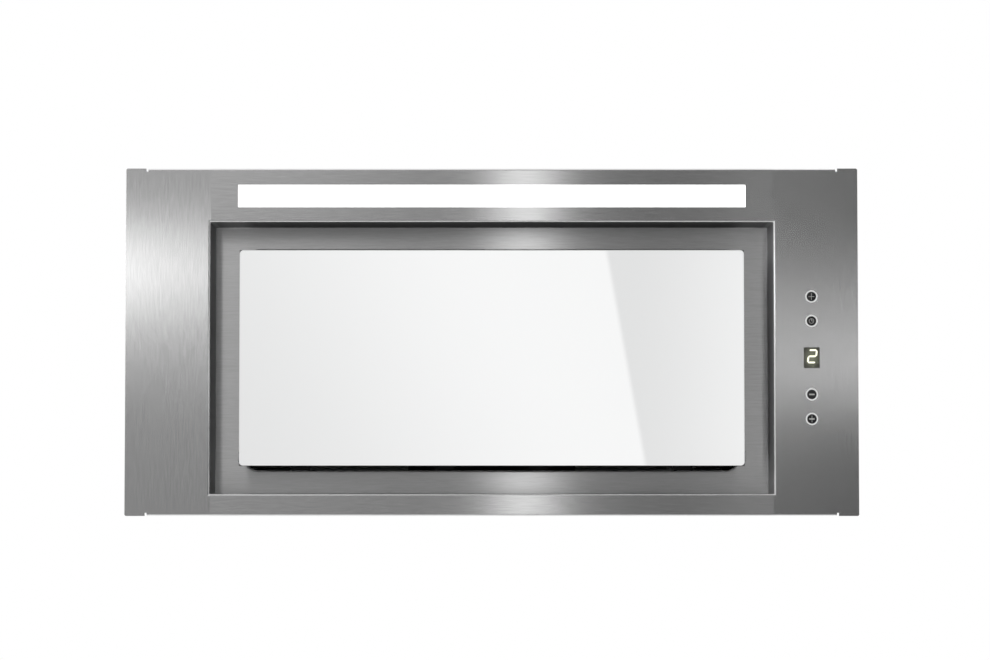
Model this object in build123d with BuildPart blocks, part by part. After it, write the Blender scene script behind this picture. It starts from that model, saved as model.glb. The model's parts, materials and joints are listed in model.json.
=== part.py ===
"""Built-in range hood for a 600 mm wall cabinet, drawn as it hangs over the hob.

X runs along the front edge towards the controls, Y runs from the room to the wall and Z points up.
The origin is the middle of the visible face of the steel panel, which looks down. Millimetres.
"""

import math
import os

from build123d import *

os.makedirs("parts", exist_ok=True)

# Sheet steel and general clearances
sheet = 1.0
bend = 0.8
play = 0.3
screw_d = 4.0
screw_hole = 4.3
head_across = 7.0
head_height = 2.4
shank = 7.0
thread_d = 4.2

# Visible panel and its folded long edges
panel_length = 598.0
panel_depth = 284.0
panel_corner = 1.5
edge_fold = 12.0
corner_flat = 18.0
relief_width = 1.6
relief_depth = 2.6

# Recess around the glass flap
end_column = 69.0
front_strip = 44.0
rear_strip = 18.0
recess_height = 45.0
recess_lip = 7.0

# Opening in the filter deck
ledge_end = 24.0
ledge_side = 19.5
opening_corner = 12.0
upstand = 14.0
tongue_room = (3.0, 1.4)
hook_room = (2.0, 0.4)

# Glass flap
air_slot_end = 24.0
air_slot_side = 23.0
glass_thickness = 4.0
glass_corner = 3.0
glass_chamfer = 0.4
pan_inset_x = 16.0
pan_inset_y = 13.0
pan_height = 18.0
pan_bend = 3.0
hinge_inset = 7.0
hinge_height = 14.0
pin_d = 5.0
ear_radius = 6.0
rail_thickness = 2.0
rail_height = 12.0
arm_gap = 1.5
ear_root = 20.0
magnet_width = 6.0
magnet_length = 18.0
magnet_height = 8.0
magnet_air = 0.2
arm_foot = 8.0
arm_reach = 24.0
arm_sole = 2.0
weld_lap = 1.0
pin_end = 2.0
pin_head = 1.5
pin_head_radius = 4.25
pin_clearance = 0.1
rail_clear = 2.0
magnet_edge = 0.6

# Grease filters
filter_thickness = 9.0
filter_play = 1.0
filter_rear_play = 4.5
filter_gap = 1.2
filter_wall = 1.2
filter_border = 9.0
filter_corner = 3.0
rail_space = 7.8
latch_length = 50.0
latch_depth = 14.0
latch_travel = 4.2
block_wall = 3.0
pull_length = 30.0
pull_depth = 3.0
pull_height = 4.4
pull_room = 8.0
tongue_width = 18.0
tongue_height = 3.6
tongue_reach = 1.6
hook_width = 16.0
hook_lap = 2.0
hook_spread = 120.0
leaf_span = 40.0
leaf_room = 5.0
leaf_thickness = 0.4
leaf_width = 4.0

# Light bar
light_end_margin = 91.5
light_width = 18.3
light_edge = 13.4
diffuser_thickness = 3.0
channel_height = 21.0
channel_wall = 1.5
channel_margin = 1.35
board_thickness = 1.6
led_pitch = 20.0
channel_overlap = 2.0
cap_thickness = 3.0
cap_ear = 12.0
fin_height = 4.0
fin_pitch = 4.5
led_size = 5.0
led_height = 1.0
cap_foot = 3.0
cap_ear_chamfer = 4.0
cap_ear_inset = 4.0
board_end_play = 1.0
diffuser_edge = 0.2

# Controls
control_edge = 38.0
button_near = 30.0
button_pitch = 20.0
ring_d = 10.0
ring_wall = 1.1
ring_play = 0.05
barrel_height = 3.4
button_recess = 0.3
button_travel = 1.2
window_width = 13.0
window_length = 17.0
window_lap = 1.5
board_height = 12.0
case_width = 31.0
case_height = 23.0
case_wall = 1.5
case_margin = 15.0
case_post = 6.0
case_ear = 14.0
flange_thickness = 0.8
flange_across = 9.0
stem_across = 3.0
switch_size = 6.2
switch_height = 4.0
module_face = (12.6, 19.0)
chip_place = (-3.0, -14.0)
chip_size = (9.0, 9.0)
plug_place = (0.0, 26.0)
plug_size = (16.0, 6.0)
chip_height = 2.2

# Housing above the panel
end_overhang = 20.0
panel_overhang = 8.0
seam_flange = 14.0
foot_flange = 6.0
emboss = 1.2
emboss_margin = 69.0
emboss_height = 110.0
emboss_corner = 12.0
emboss_slope = 30
emboss_z = 140.0
corner_gap = 4.0
mount_hole = 5.0
mount_spacing = 200.0
mount_z = 130.0

# Blower
air_gap = 2.0
wheel_radius = 60.0
wheel_width = 104.0
blade_count = 24
blade_depth = 10.0
blade_thickness = 0.9
blade_bow = 2.6
blade_lead = 3.5
ring_lap = 1.0
wheel_ring = 3.0
tongue_gap = 6.0
tongue_angle = 50.0
volute_step = 13.0
scroll_wall = 2.0
side_gap = 4.0
scroll_room = 2.5
inlet_radius = 51.0
inlet_lip = 5.0
rib_count = 6
rib_length = 15.0
rib_height = 3.0
motor_radius = 32.0
motor_length = 54.0
motor_start = 12.0
slot_count = 8
slot_width = 6.0
slot_depth = 3.0
bearing_boss = 2.0
bearing_radius = 8.0
shaft_end = 3.0
shaft_d = 8.0
hub_radius = 11.0
hub_length = 16.0
disc_thickness = 2.0
bracket_thickness = 2.0
bracket_width = 14.0
bracket_hub = 22.0
bracket_play = 1.0
arm_bolt_radius = 60.5
arm_turns = (90, 210, 330)
shaft_play = 0.05
grommet_d = 9.0
lug_turns = (135, 225, 315)
lug_size = 12.0
lug_slope = 70
lug_depth = 4.0

# Outlet collar and its back-draught flaps
collar_d = 149.0
collar_height = 40.0
collar_wall = 2.0
collar_flange = 10.0
collar_base = 2.5
outlet_flange = 2.0
flange_half = 76.0
damper_height = 12.0
damper_thickness = 1.2
damper_offset = 4.0
damper_air = 1.0
damper_bar = 5.4
damper_bar_half = 68.0
damper_pin = 3.0
pin_play = 0.08
pin_recess = 0.4
stop_reach = 3.0
stop_width = 10.0
stop_air = 0.2
collar_screw_turn = 45

# Electrical pieces
driver_size = (24.0, 120.0, 22.0)
driver_height = 64.0
driver_edge = 1.5
foot_size = (3.0, 14.0, 14.0)
foot_tuck = 1.0
module_size = (30.0, 100.0, 62.0)
module_height = 62.0
module_edge = 2.0
capacitor_d = 30.0
capacitor_length = 62.0
capacitor_height = 172.0
gland_bore = 8.0
gland_d = 16.0
gland_inset_x = 60.0
gland_inset_y = 36.0
gland_hex_height = 5.0
gland_hex_lap = 2.0
gland_dome_height = 11.0
gland_dome_lap = 1.0
gland_dome_slope = 14
gland_nut_height = 4.0
terminal_size = (28.0, 18.0, 16.0)
terminal_pitch = 9.0
terminal_edge = 1.0
terminal_gap = 46.0
socket_count = 4
socket_pitch = 18.0
socket_size = (12.0, 7.0, 5.0)
tab_size = (1.0, 6.0, 8.0)

# Sizes and places worked out from the sizes above
recess_length = panel_length - 2 * end_column
recess_width = panel_depth - front_strip - rear_strip
recess_setback = (front_strip - rear_strip) / 2
opening_length = recess_length - 2 * ledge_end
opening_width = recess_width - 2 * ledge_side
glass_length = recess_length - 2 * air_slot_end
glass_width = recess_width - 2 * air_slot_side
light_length = panel_length - 2 * light_end_margin
body_length = panel_length - 2 * end_overhang
emboss_length = body_length - 2 * emboss_margin
front_edge = -panel_depth / 2
light_y = front_edge + light_edge + light_width / 2
control_x = panel_length / 2 - control_edge
button_offsets = {
    "power": -button_near - button_pitch,
    "timer": -button_near,
    "less": button_near,
    "more": button_near + button_pitch,
}
button_ys = [recess_setback + offset for offset in button_offsets.values()]
button_hole = ring_d + 2 * ring_play
button_d = ring_d - 2 * ring_wall - play
deck_top = recess_height + sheet
lip_length = recess_length + 2 * (sheet + recess_lip)
lip_width = recess_width + 2 * (sheet + recess_lip)
opening_front = recess_setback - opening_width / 2
opening_rear = recess_setback + opening_width / 2
body_x = body_length / 2
body_y = panel_depth / 2 - panel_overhang
fold_length = panel_length - 2 * corner_flat

# The scroll grows by one step each quarter turn, so its height settles the housing's height
radii = [wheel_radius + tongue_gap + volute_step * quarter for quarter in range(4)]
scroll_bottom = deck_top + upstand + air_gap
wheel_z = scroll_bottom + scroll_wall + volute_step / 2 + radii[2]
wheel_y = scroll_room + sheet - body_y + scroll_wall + volute_step / 2 + radii[1]
scroll_top = wheel_z + volute_step / 2 + radii[0] + scroll_wall
body_top = scroll_top + outlet_flange + sheet
scroll_half = wheel_width / 2 + side_gap
exit_rear = wheel_y + volute_step / 2 + radii[3]
exit_front = wheel_y - volute_step / 2 + radii[0] * math.cos(math.radians(tongue_angle))
collar_y = (exit_front + exit_rear) / 2


def keep(piece, name):
    """Label a finished piece and write it under its own name."""
    piece.part.label = name
    export_step(piece.part, f"parts/{name}.step")


def near(value, target):
    return abs(value - target) < 1e-3


def edges_at(piece, z, half_x, half_y, middle_y):
    """Edges of a flat outline at height z that lie within a rectangle about the middle line."""
    found = piece.edges().filter_by_position(Axis.Z, z - 1e-3, z + 1e-3)
    return found.filter_by(
        lambda edge: abs(edge.center().X) < half_x + 1e-3
        and abs(edge.center().Y - middle_y) < half_y + 1e-3
    )


# Panel: one folded sheet with the recess walls, the light slot and the control holes
with BuildPart() as fascia_panel:
    with BuildSketch() as panel_face:
        RectangleRounded(panel_length, panel_depth, panel_corner)
        with Locations((0, recess_setback)):
            Rectangle(recess_length, recess_width, mode=Mode.SUBTRACT)
        with Locations((0, light_y)):
            Rectangle(light_length, light_width, mode=Mode.SUBTRACT)
        with Locations([(control_x, y) for y in button_ys]):
            Circle(button_hole / 2, mode=Mode.SUBTRACT)
        with Locations((control_x, recess_setback)):
            Rectangle(window_width, window_length, mode=Mode.SUBTRACT)
    extrude(amount=sheet)
    with BuildSketch() as recess_walls:
        with Locations((0, recess_setback)):
            Rectangle(recess_length + 2 * sheet, recess_width + 2 * sheet)
            Rectangle(recess_length, recess_width, mode=Mode.SUBTRACT)
    extrude(amount=recess_height)
    with BuildSketch(Plane.XY.offset(recess_height - sheet)) as deck_lip:
        with Locations((0, recess_setback)):
            Rectangle(lip_length, lip_width)
            Rectangle(recess_length, recess_width, mode=Mode.SUBTRACT)
    extrude(amount=sheet)
    with BuildSketch() as long_folds:
        with Locations((0, front_edge + sheet / 2), (0, -front_edge - sheet / 2)):
            Rectangle(fold_length, sheet)
    extrude(amount=edge_fold)
    with BuildSketch() as reliefs:
        with GridLocations(fold_length + relief_width, panel_depth - relief_depth, 2, 2):
            Rectangle(relief_width, relief_depth)
    extrude(amount=edge_fold, mode=Mode.SUBTRACT)
    for height in (0, recess_height):
        rim = edges_at(fascia_panel, height, recess_length / 2, recess_width / 2, recess_setback)
        fillet(rim, radius=bend + sheet)
    for height in (sheet, recess_height - sheet):
        root = edges_at(
            fascia_panel, height, recess_length / 2 + sheet, recess_width / 2 + sheet, recess_setback
        ).filter_by(
            lambda edge: near(abs(edge.center().X), recess_length / 2 + sheet)
            or near(abs(edge.center().Y - recess_setback), recess_width / 2 + sheet)
        )
        fillet(root, radius=bend)
    fold_lines = fascia_panel.edges().filter_by(
        lambda edge: near(edge.center().Z, 0)
        and near(abs(edge.center().Y), panel_depth / 2)
        and abs(edge.center().X) < fold_length / 2
    )
    fillet(fold_lines, radius=bend + sheet)
    fold_roots = fascia_panel.edges().filter_by(
        lambda edge: near(edge.center().Z, sheet) and near(abs(edge.center().Y), panel_depth / 2 - sheet)
    )
    fillet(fold_roots, radius=bend)
keep(fascia_panel, "fascia_panel")

# Filter deck: the floor of the recess, with a drawn collar round the opening
filter_length = (opening_length - 2 * rail_space - filter_gap) / 2
filter_width = opening_width - filter_play - filter_rear_play
filter_y = recess_setback + (filter_play - filter_rear_play) / 2
filter_x = (filter_gap + filter_length) / 2
filter_front = filter_y - filter_width / 2
filter_rear = filter_y + filter_width / 2
hook_reach = filter_rear_play + sheet + hook_lap
hook_offsets = (-hook_spread / 2, hook_spread / 2)
hook_xs = [side * filter_x + offset for side in (-1, 1) for offset in hook_offsets]
slot_z = deck_top + filter_thickness / 2
with BuildPart() as filter_deck:
    with BuildSketch(Plane.XY.offset(recess_height)) as deck_sheet:
        with Locations((0, recess_setback)):
            Rectangle(lip_length, lip_width)
            RectangleRounded(opening_length, opening_width, opening_corner, mode=Mode.SUBTRACT)
    extrude(amount=sheet)
    with BuildSketch(Plane.XY.offset(recess_height)) as drawn_collar:
        with Locations((0, recess_setback)):
            RectangleRounded(opening_length + 2 * sheet, opening_width + 2 * sheet, opening_corner + sheet)
            RectangleRounded(opening_length, opening_width, opening_corner, mode=Mode.SUBTRACT)
    extrude(amount=sheet + upstand)
    mouth = edges_at(filter_deck, recess_height, opening_length / 2, opening_width / 2, recess_setback)
    fillet(mouth, radius=bend + sheet)
    with Locations([(side * filter_x, opening_front - sheet / 2, slot_z) for side in (-1, 1)]):
        Box(tongue_width + tongue_room[0], 3 * sheet, tongue_height + tongue_room[1], mode=Mode.SUBTRACT)
    with Locations([(x, opening_rear + sheet / 2, slot_z) for x in hook_xs]):
        Box(hook_width + hook_room[0], 3 * sheet, tongue_height + hook_room[1], mode=Mode.SUBTRACT)
keep(filter_deck, "filter_deck")

# Glass pane of the flap, and the steel pan behind it
with BuildPart() as glass_pane:
    with BuildSketch() as pane:
        with Locations((0, recess_setback)):
            RectangleRounded(glass_length, glass_width, glass_corner)
    extrude(amount=glass_thickness)
    chamfer(glass_pane.faces().sort_by(Axis.Z)[0].edges(), length=glass_chamfer)
keep(glass_pane, "glass_pane")

pan_length = glass_length - 2 * pan_inset_x
pan_width = glass_width - 2 * pan_inset_y
flange_top = glass_thickness + sheet
with BuildPart() as glass_carrier:
    with BuildSketch(Plane.XY.offset(glass_thickness)) as pan_outline:
        with Locations((0, recess_setback)):
            RectangleRounded(pan_length, pan_width, pan_bend + sheet)
    extrude(amount=pan_height)
    offset(amount=-sheet, openings=glass_carrier.faces().sort_by(Axis.Z)[0])
    with BuildSketch(Plane.XY.offset(glass_thickness)) as glued_flange:
        with Locations((0, recess_setback)):
            Rectangle(glass_length, glass_width)
            RectangleRounded(
                pan_length - 2 * sheet, pan_width - 2 * sheet, pan_bend, mode=Mode.SUBTRACT
            )
    extrude(amount=sheet)
keep(glass_carrier, "glass_carrier")

# Hinge of the flap: rails in the two ends of the opening, arms on the pan and a pin through each pair
hinge_y = recess_setback + glass_width / 2 - hinge_inset
hinge_z = hinge_height
web_front = opening_front + opening_corner + rail_clear
web_rear = opening_rear - opening_corner - rail_clear
web_x = opening_length / 2 - rail_thickness
arm_x = web_x - arm_gap - rail_thickness
ear_bottom = flange_top + magnet_height / 2
magnet_y = web_front + magnet_length / 2 + rail_clear
pin_hole = pin_d + pin_clearance


def flap_rail(side):
    """Folded plate in one end of the opening: hinge ear at the rear, magnet ear in front."""
    with BuildPart() as rail:
        with BuildSketch(Plane.YZ.offset(side * web_x)) as web:
            with Locations(((web_front + web_rear) / 2, deck_top + rail_height / 2)):
                Rectangle(web_rear - web_front, rail_height)
            with Locations((magnet_y, (ear_bottom + deck_top + weld_lap) / 2)):
                Rectangle(magnet_length + 2 * rail_clear, deck_top - ear_bottom + weld_lap)
        extrude(amount=side * rail_thickness)
        with BuildSketch(Plane.YZ.offset(side * web_x)) as hinge_ear:
            with Locations((hinge_y, hinge_z)):
                Circle(ear_radius)
            with Locations((web_rear - ear_root / 2, deck_top + weld_lap / 2)):
                Rectangle(ear_root, weld_lap)
            make_hull()
        extrude(amount=side * rail_thickness)
        with BuildSketch(Plane.YZ.offset(side * web_x)) as pin_eye:
            with Locations((hinge_y, hinge_z)):
                Circle(pin_hole / 2)
        extrude(amount=side * rail_thickness, mode=Mode.SUBTRACT)
    return rail


def hinge_arm(side):
    """Arm welded to the pan's flange, which carries the hinge pin."""
    foot_front = hinge_y - arm_reach
    with BuildPart() as arm:
        with BuildSketch(Plane.YZ.offset(side * arm_x)) as blade:
            with Locations((hinge_y, hinge_z)):
                Circle(ear_radius)
            with Locations(((foot_front + hinge_y) / 2, flange_top + arm_sole / 2)):
                Rectangle(arm_reach, arm_sole)
            make_hull()
        extrude(amount=side * rail_thickness)
        with BuildSketch(Plane.XY.offset(flange_top)) as foot:
            with Locations((side * (arm_x - (arm_foot - weld_lap) / 2), (foot_front + hinge_y) / 2)):
                Rectangle(arm_foot + weld_lap, arm_reach)
        extrude(amount=rail_thickness)
        with BuildSketch(Plane.YZ.offset(side * arm_x)) as pin_seat:
            with Locations((hinge_y, hinge_z)):
                Circle(pin_hole / 2)
        extrude(amount=side * rail_thickness, mode=Mode.SUBTRACT)
    return arm


for side, word in ((-1, "left"), (1, "right")):
    keep(flap_rail(side), f"flap_rail_{word}")
    keep(hinge_arm(side), f"hinge_arm_{word}")

with BuildPart() as hinge_pins:
    for side in (-1, 1):
        with BuildSketch(Plane.YZ.offset(side * (arm_x - pin_end))) as pin_section:
            with Locations((hinge_y, hinge_z)):
                Circle(pin_d / 2)
        extrude(amount=side * (opening_length / 2 + play + pin_head - arm_x + pin_end))
        with BuildSketch(Plane.YZ.offset(side * (opening_length / 2 + play))) as pin_cap:
            with Locations((hinge_y, hinge_z)):
                Circle(pin_head_radius)
        extrude(amount=side * pin_head)
keep(hinge_pins, "hinge_pins")

with BuildPart() as catch_magnets:
    with Locations(
        [
            (side * (web_x - magnet_width / 2), magnet_y, flange_top + magnet_air + magnet_height / 2)
            for side in (-1, 1)
        ]
    ):
        Box(magnet_width, magnet_length, magnet_height)
    chamfer(catch_magnets.edges().filter_by(Axis.Y), length=magnet_edge)
keep(catch_magnets, "catch_magnets")

# Grease filters: two cassettes side by side in the opening, each held by rear hooks and a sprung latch
cavity_height = filter_thickness - 2 * filter_wall
latch_z = deck_top + filter_thickness / 2
latch_front = filter_front + filter_wall
channel_depth = latch_depth + latch_travel + leaf_room
block_depth = filter_wall + channel_depth + filter_wall
block_length = latch_length + 2 * play + 2 * block_wall
pull_y = latch_front + play + latch_depth - pull_depth
tongue_tip = opening_front - sheet - tongue_reach


def grease_filter(side):
    """Folded aluminium frame with rear hooks and a latch housing in the middle of its front."""
    middle = side * filter_x
    with BuildPart() as frame:
        with BuildSketch(Plane.XY.offset(deck_top)) as frame_outline:
            with Locations((middle, filter_y)):
                RectangleRounded(filter_length, filter_width, filter_corner)
        extrude(amount=filter_thickness)
        with Locations((middle, filter_y, latch_z)):
            Box(
                filter_length - 2 * filter_wall,
                filter_width - 2 * filter_wall,
                cavity_height,
                mode=Mode.SUBTRACT,
            )
            Box(
                filter_length - 2 * filter_border,
                filter_width - 2 * filter_border,
                filter_thickness + 1,
                mode=Mode.SUBTRACT,
            )
        with Locations((middle, filter_front + block_depth / 2, latch_z)):
            Box(block_length, block_depth, filter_thickness)
        with Locations((middle, latch_front + channel_depth / 2, latch_z)):
            Box(latch_length + 2 * play, channel_depth, cavity_height, mode=Mode.SUBTRACT)
        with Locations((middle, filter_front, latch_z)):
            Box(tongue_width + 2 * play, 4 * filter_wall, tongue_height + 2 * play, mode=Mode.SUBTRACT)
        with Locations((middle, pull_y + latch_travel / 2, deck_top)):
            Box(
                pull_length + 2 * play,
                pull_depth + latch_travel + pull_room,
                4 * filter_wall,
                mode=Mode.SUBTRACT,
            )
        with Locations([(middle + offset, filter_rear, latch_z) for offset in hook_offsets]):
            Box(
                hook_width,
                2 * hook_reach,
                tongue_height - 1,
                mode=Mode.ADD,
            )
    return frame


def filter_mesh(side):
    """Stack of expanded aluminium mesh inside the frame, cut out round the latch housing."""
    middle = side * filter_x
    with BuildPart() as mesh:
        with BuildSketch(Plane.XY.offset(deck_top + filter_wall + 0.1)) as mesh_outline:
            with Locations((middle, filter_y)):
                Rectangle(
                    filter_length - 2 * filter_wall - 2 * play,
                    filter_width - 2 * filter_wall - 2 * play,
                )
            with Locations((middle, filter_front + block_depth / 2)):
                Rectangle(block_length + 2 * play, block_depth + 2 * play, mode=Mode.SUBTRACT)
            with Locations([(middle + offset, filter_rear - hook_reach / 2) for offset in hook_offsets]):
                Rectangle(hook_width + 2 * play, hook_reach + 2 * play, mode=Mode.SUBTRACT)
        extrude(amount=cavity_height - 0.2)
    return mesh


def filter_latch(side):
    """Sliding bolt with a finger pull underneath."""
    middle = side * filter_x
    with BuildPart() as latch:
        with Locations((middle, latch_front + play + latch_depth / 2, latch_z)):
            Box(latch_length, latch_depth, cavity_height - 2 * play)
        with Locations((middle, (latch_front + play + tongue_tip) / 2, latch_z)):
            Box(tongue_width, latch_front + play - tongue_tip, tongue_height)
        with BuildSketch(Plane.XY.offset(latch_z - cavity_height / 2 + play)) as pull:
            with Locations((middle, pull_y)):
                RectangleRounded(pull_length, pull_depth, pull_depth / 2 - 0.1)
        extrude(amount=-pull_height)
    return latch


def latch_leaf(side):
    """Leaf spring behind the bolt, pressed into a flat-topped arch."""
    middle = side * filter_x
    back = latch_front + play + latch_depth
    crest = back + latch_travel + leaf_room - play - leaf_thickness
    with BuildPart() as leaf:
        with BuildSketch(Plane.XY.offset(latch_z - leaf_width / 2)) as strip:
            with BuildLine() as strip_edge:
                arch = Polyline(
                    (middle - leaf_span / 2, back + play),
                    (middle - leaf_span / 6, crest),
                    (middle + leaf_span / 6, crest),
                    (middle + leaf_span / 2, back + play),
                )
                offset(arch, amount=leaf_thickness, side=Side.LEFT)
            make_face()
        extrude(amount=leaf_width)
    return leaf


for side, word in ((-1, "left"), (1, "right")):
    keep(grease_filter(side), f"grease_filter_{word}")
    keep(filter_mesh(side), f"filter_mesh_{word}")
    keep(filter_latch(side), f"filter_latch_{word}")
    keep(latch_leaf(side), f"latch_spring_{word}")

# Light bar: diffuser in the slot, finned channel above it, strip of lamps and two end caps
channel_length = light_length + 2 * channel_overlap
channel_outer = light_width + 2 * (channel_margin + channel_wall)
channel_inner = light_width + 2 * channel_margin
channel_top = sheet + channel_height
with BuildPart() as light_diffuser:
    with BuildSketch() as slot_fill:
        with Locations((0, light_y)):
            Rectangle(light_length - play, light_width - play)
    extrude(amount=diffuser_thickness)
    with BuildSketch(Plane.XY.offset(sheet)) as shoulder:
        with Locations((0, light_y)):
            Rectangle(channel_length - play, channel_inner - play)
    extrude(amount=diffuser_thickness - sheet)
    chamfer(light_diffuser.faces().sort_by(Axis.Z)[0].edges(), length=diffuser_edge)
keep(light_diffuser, "light_diffuser")

with BuildPart() as light_channel:
    with BuildSketch(Plane.YZ.offset(-channel_length / 2)) as channel_section:
        with Locations((light_y, sheet + channel_height / 2)):
            Rectangle(channel_outer, channel_height)
        with Locations((light_y, sheet + (channel_height - channel_wall) / 2)):
            Rectangle(channel_inner, channel_height - channel_wall, mode=Mode.SUBTRACT)
        with Locations((light_y, channel_top + fin_height / 2)):
            with GridLocations(fin_pitch, 1, 5, 1):
                Rectangle(channel_wall, fin_height)
    extrude(amount=channel_length)
keep(light_channel, "light_channel")

led_count = int((light_length - led_pitch) / led_pitch) + 1
with BuildPart() as led_board:
    board_z = channel_top - channel_wall - board_thickness
    with BuildSketch(Plane.XY.offset(board_z)) as board_strip:
        with Locations((0, light_y)):
            Rectangle(light_length - 2 * board_end_play, channel_inner - 2 * channel_wall)
    extrude(amount=board_thickness)
    with BuildSketch(Plane.XY.offset(board_z)) as lamps:
        with Locations((0, light_y)):
            with GridLocations(led_pitch, 1, led_count, 1):
                Rectangle(led_size, led_size)
    extrude(amount=-led_height)
keep(led_board, "led_board")


def light_end_cap(side):
    """Moulded cap on one end of the channel, with an ear that lies on the panel."""
    inner = side * channel_length / 2
    with BuildPart() as cap:
        with BuildSketch(Plane.YZ.offset(inner)) as cap_face:
            with Locations((light_y, sheet + channel_height / 2)):
                Rectangle(channel_outer, channel_height)
        extrude(amount=side * cap_thickness)
        with BuildSketch(Plane.XY.offset(sheet)) as ear:
            with Locations((inner + side * (cap_thickness + cap_ear / 2), light_y)):
                Rectangle(cap_ear, channel_outer - cap_ear_inset)
        extrude(amount=cap_foot)
        ear_corners = cap.edges().filter_by(Axis.Z).sort_by(Axis.X)
        chamfer(ear_corners[-2:] if side > 0 else ear_corners[:2], length=cap_ear_chamfer)
    return cap


keep(light_end_cap(-1), "light_end_cap_left")
keep(light_end_cap(1), "light_end_cap_right")

# Controls: four sprung buttons in rings, a display window and the board that reads them
case_half = button_near + button_pitch + case_margin
board_z = board_height
stem_top = board_z - switch_height + play
with BuildPart() as button_rings:
    with BuildSketch() as rings:
        with Locations([(control_x, y) for y in button_ys]):
            Circle(ring_d / 2)
            Circle(ring_d / 2 - ring_wall, mode=Mode.SUBTRACT)
    extrude(amount=barrel_height)
keep(button_rings, "button_rings")

for word, offset_y in button_offsets.items():
    with BuildPart() as button:
        with BuildSketch(Plane.XY.offset(button_recess)) as crown:
            with Locations((control_x, recess_setback + offset_y)):
                Circle(button_d / 2)
        extrude(amount=barrel_height + play - button_recess)
        with BuildSketch(Plane.XY.offset(barrel_height + play)) as flange:
            with Locations((control_x, recess_setback + offset_y)):
                Rectangle(flange_across, flange_across)
        extrude(amount=flange_thickness)
        with BuildSketch(Plane.XY.offset(barrel_height + play + flange_thickness)) as stem:
            with Locations((control_x, recess_setback + offset_y)):
                Rectangle(stem_across, stem_across)
        extrude(amount=stem_top - barrel_height - play - flange_thickness)
    keep(button, f"button_{word}")

with BuildPart() as tact_switches:
    with BuildSketch(Plane.XY.offset(board_z)) as switch_bodies:
        with Locations([(control_x, y) for y in button_ys]):
            Rectangle(switch_size, switch_size)
    extrude(amount=-switch_height)
    with BuildSketch(Plane.XY.offset(board_z - switch_height)) as plunger_wells:
        with Locations([(control_x, y) for y in button_ys]):
            Rectangle(stem_across + 2 * play, stem_across + 2 * play)
    extrude(amount=button_travel + 2 * play, mode=Mode.SUBTRACT)
keep(tact_switches, "tact_switches")

with BuildPart() as display_window:
    with BuildSketch() as window:
        with Locations((control_x, recess_setback)):
            Rectangle(window_width - play, window_length - play)
    extrude(amount=sheet)
    with BuildSketch(Plane.XY.offset(sheet)) as window_rim:
        with Locations((control_x, recess_setback)):
            Rectangle(window_width + 2 * window_lap, window_length + 2 * window_lap)
    extrude(amount=sheet)
keep(display_window, "display_window")

with BuildPart() as display_module:
    with BuildSketch(Plane.XY.offset(2 * sheet)) as module_block:
        with Locations((control_x, recess_setback)):
            Rectangle(*module_face)
    extrude(amount=board_z - 2 * sheet)
keep(display_module, "display_module")

with BuildPart() as control_board:
    with BuildSketch(Plane.XY.offset(board_z)) as board_outline:
        with Locations((control_x, recess_setback)):
            Rectangle(case_width - 2 * case_wall - 2 * play, 2 * (case_half - case_wall - play))
    extrude(amount=board_thickness)
    with BuildSketch(Plane.XY.offset(board_z + board_thickness)) as chips:
        for place, size in ((chip_place, chip_size), (plug_place, plug_size)):
            with Locations((control_x + place[0], recess_setback + place[1])):
                Rectangle(*size)
    extrude(amount=chip_height)
keep(control_board, "control_board")

with BuildPart() as control_case:
    with BuildSketch(Plane.XY.offset(sheet)) as case_outline:
        with Locations((control_x, recess_setback)):
            Rectangle(case_width, 2 * case_half)
    extrude(amount=case_height)
    chamfer(control_case.edges().filter_by(Axis.Z), length=case_wall)
    offset(amount=-case_wall, openings=control_case.faces().sort_by(Axis.Z)[0])
    with BuildSketch(Plane.XY.offset(board_z + board_thickness)) as board_posts:
        with Locations((control_x, recess_setback)):
            with GridLocations(1, 2 * (case_half - case_wall) - case_post, 1, 2):
                Rectangle(case_post, case_post)
    extrude(amount=sheet + case_height - case_wall - board_z - board_thickness + 0.5)
    with BuildSketch(Plane.XY.offset(sheet)) as case_ears:
        with Locations((control_x, recess_setback)):
            with GridLocations(1, 2 * case_half + case_ear, 1, 2):
                Rectangle(case_width / 2, case_ear)
    extrude(amount=cap_foot)
keep(control_case, "control_case")

# Housing: a folded wrap over front, top and rear, and two side plates nested inside it
wall_top = body_top - sheet
gland_x = body_x - gland_inset_x
gland_y = body_y - gland_inset_y
terminal_x = gland_x - terminal_gap
inner_wall = body_x - sheet
collar_screw_radius = collar_d / 2 + collar_flange / 2
with BuildPart() as housing_wrap:
    with BuildSketch(Plane.YZ.offset(-body_x)) as wrap_section:
        with BuildLine() as wrap_line:
            inner_line = FilletPolyline(
                (-body_y - foot_flange, 2 * sheet),
                (-body_y, 2 * sheet),
                (-body_y, body_top),
                (body_y, body_top),
                (body_y, 2 * sheet),
                (body_y + foot_flange, 2 * sheet),
                radius=bend,
            )
            offset(inner_line, amount=sheet, side=Side.RIGHT)
        make_face()
    extrude(amount=body_length)
    for side in (-1, 1):
        wall = Plane.XZ.offset(-side * body_y)
        with BuildSketch(wall) as raised_panel:
            with Locations((0, emboss_z)):
                RectangleRounded(emboss_length, emboss_height, emboss_corner)
        extrude(amount=-side * emboss, taper=emboss_slope)
        with BuildSketch(Plane.XZ.offset(-side * (body_y - sheet))) as raised_hollow:
            with Locations((0, emboss_z)):
                RectangleRounded(emboss_length - 2 * sheet, emboss_height - 2 * sheet, emboss_corner)
        extrude(amount=-side * emboss, taper=emboss_slope, mode=Mode.SUBTRACT)
    with BuildSketch(Plane.XY.offset(body_top)) as top_holes:
        with Locations((0, collar_y)):
            Circle(collar_d / 2 - collar_wall)
            with PolarLocations(collar_screw_radius, 2, start_angle=collar_screw_turn):
                Circle(screw_hole / 2)
        with Locations((gland_x, gland_y)):
            Circle(gland_d / 2 + play)
    extrude(amount=-2 * sheet, mode=Mode.SUBTRACT)
keep(housing_wrap, "housing_wrap")


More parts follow.
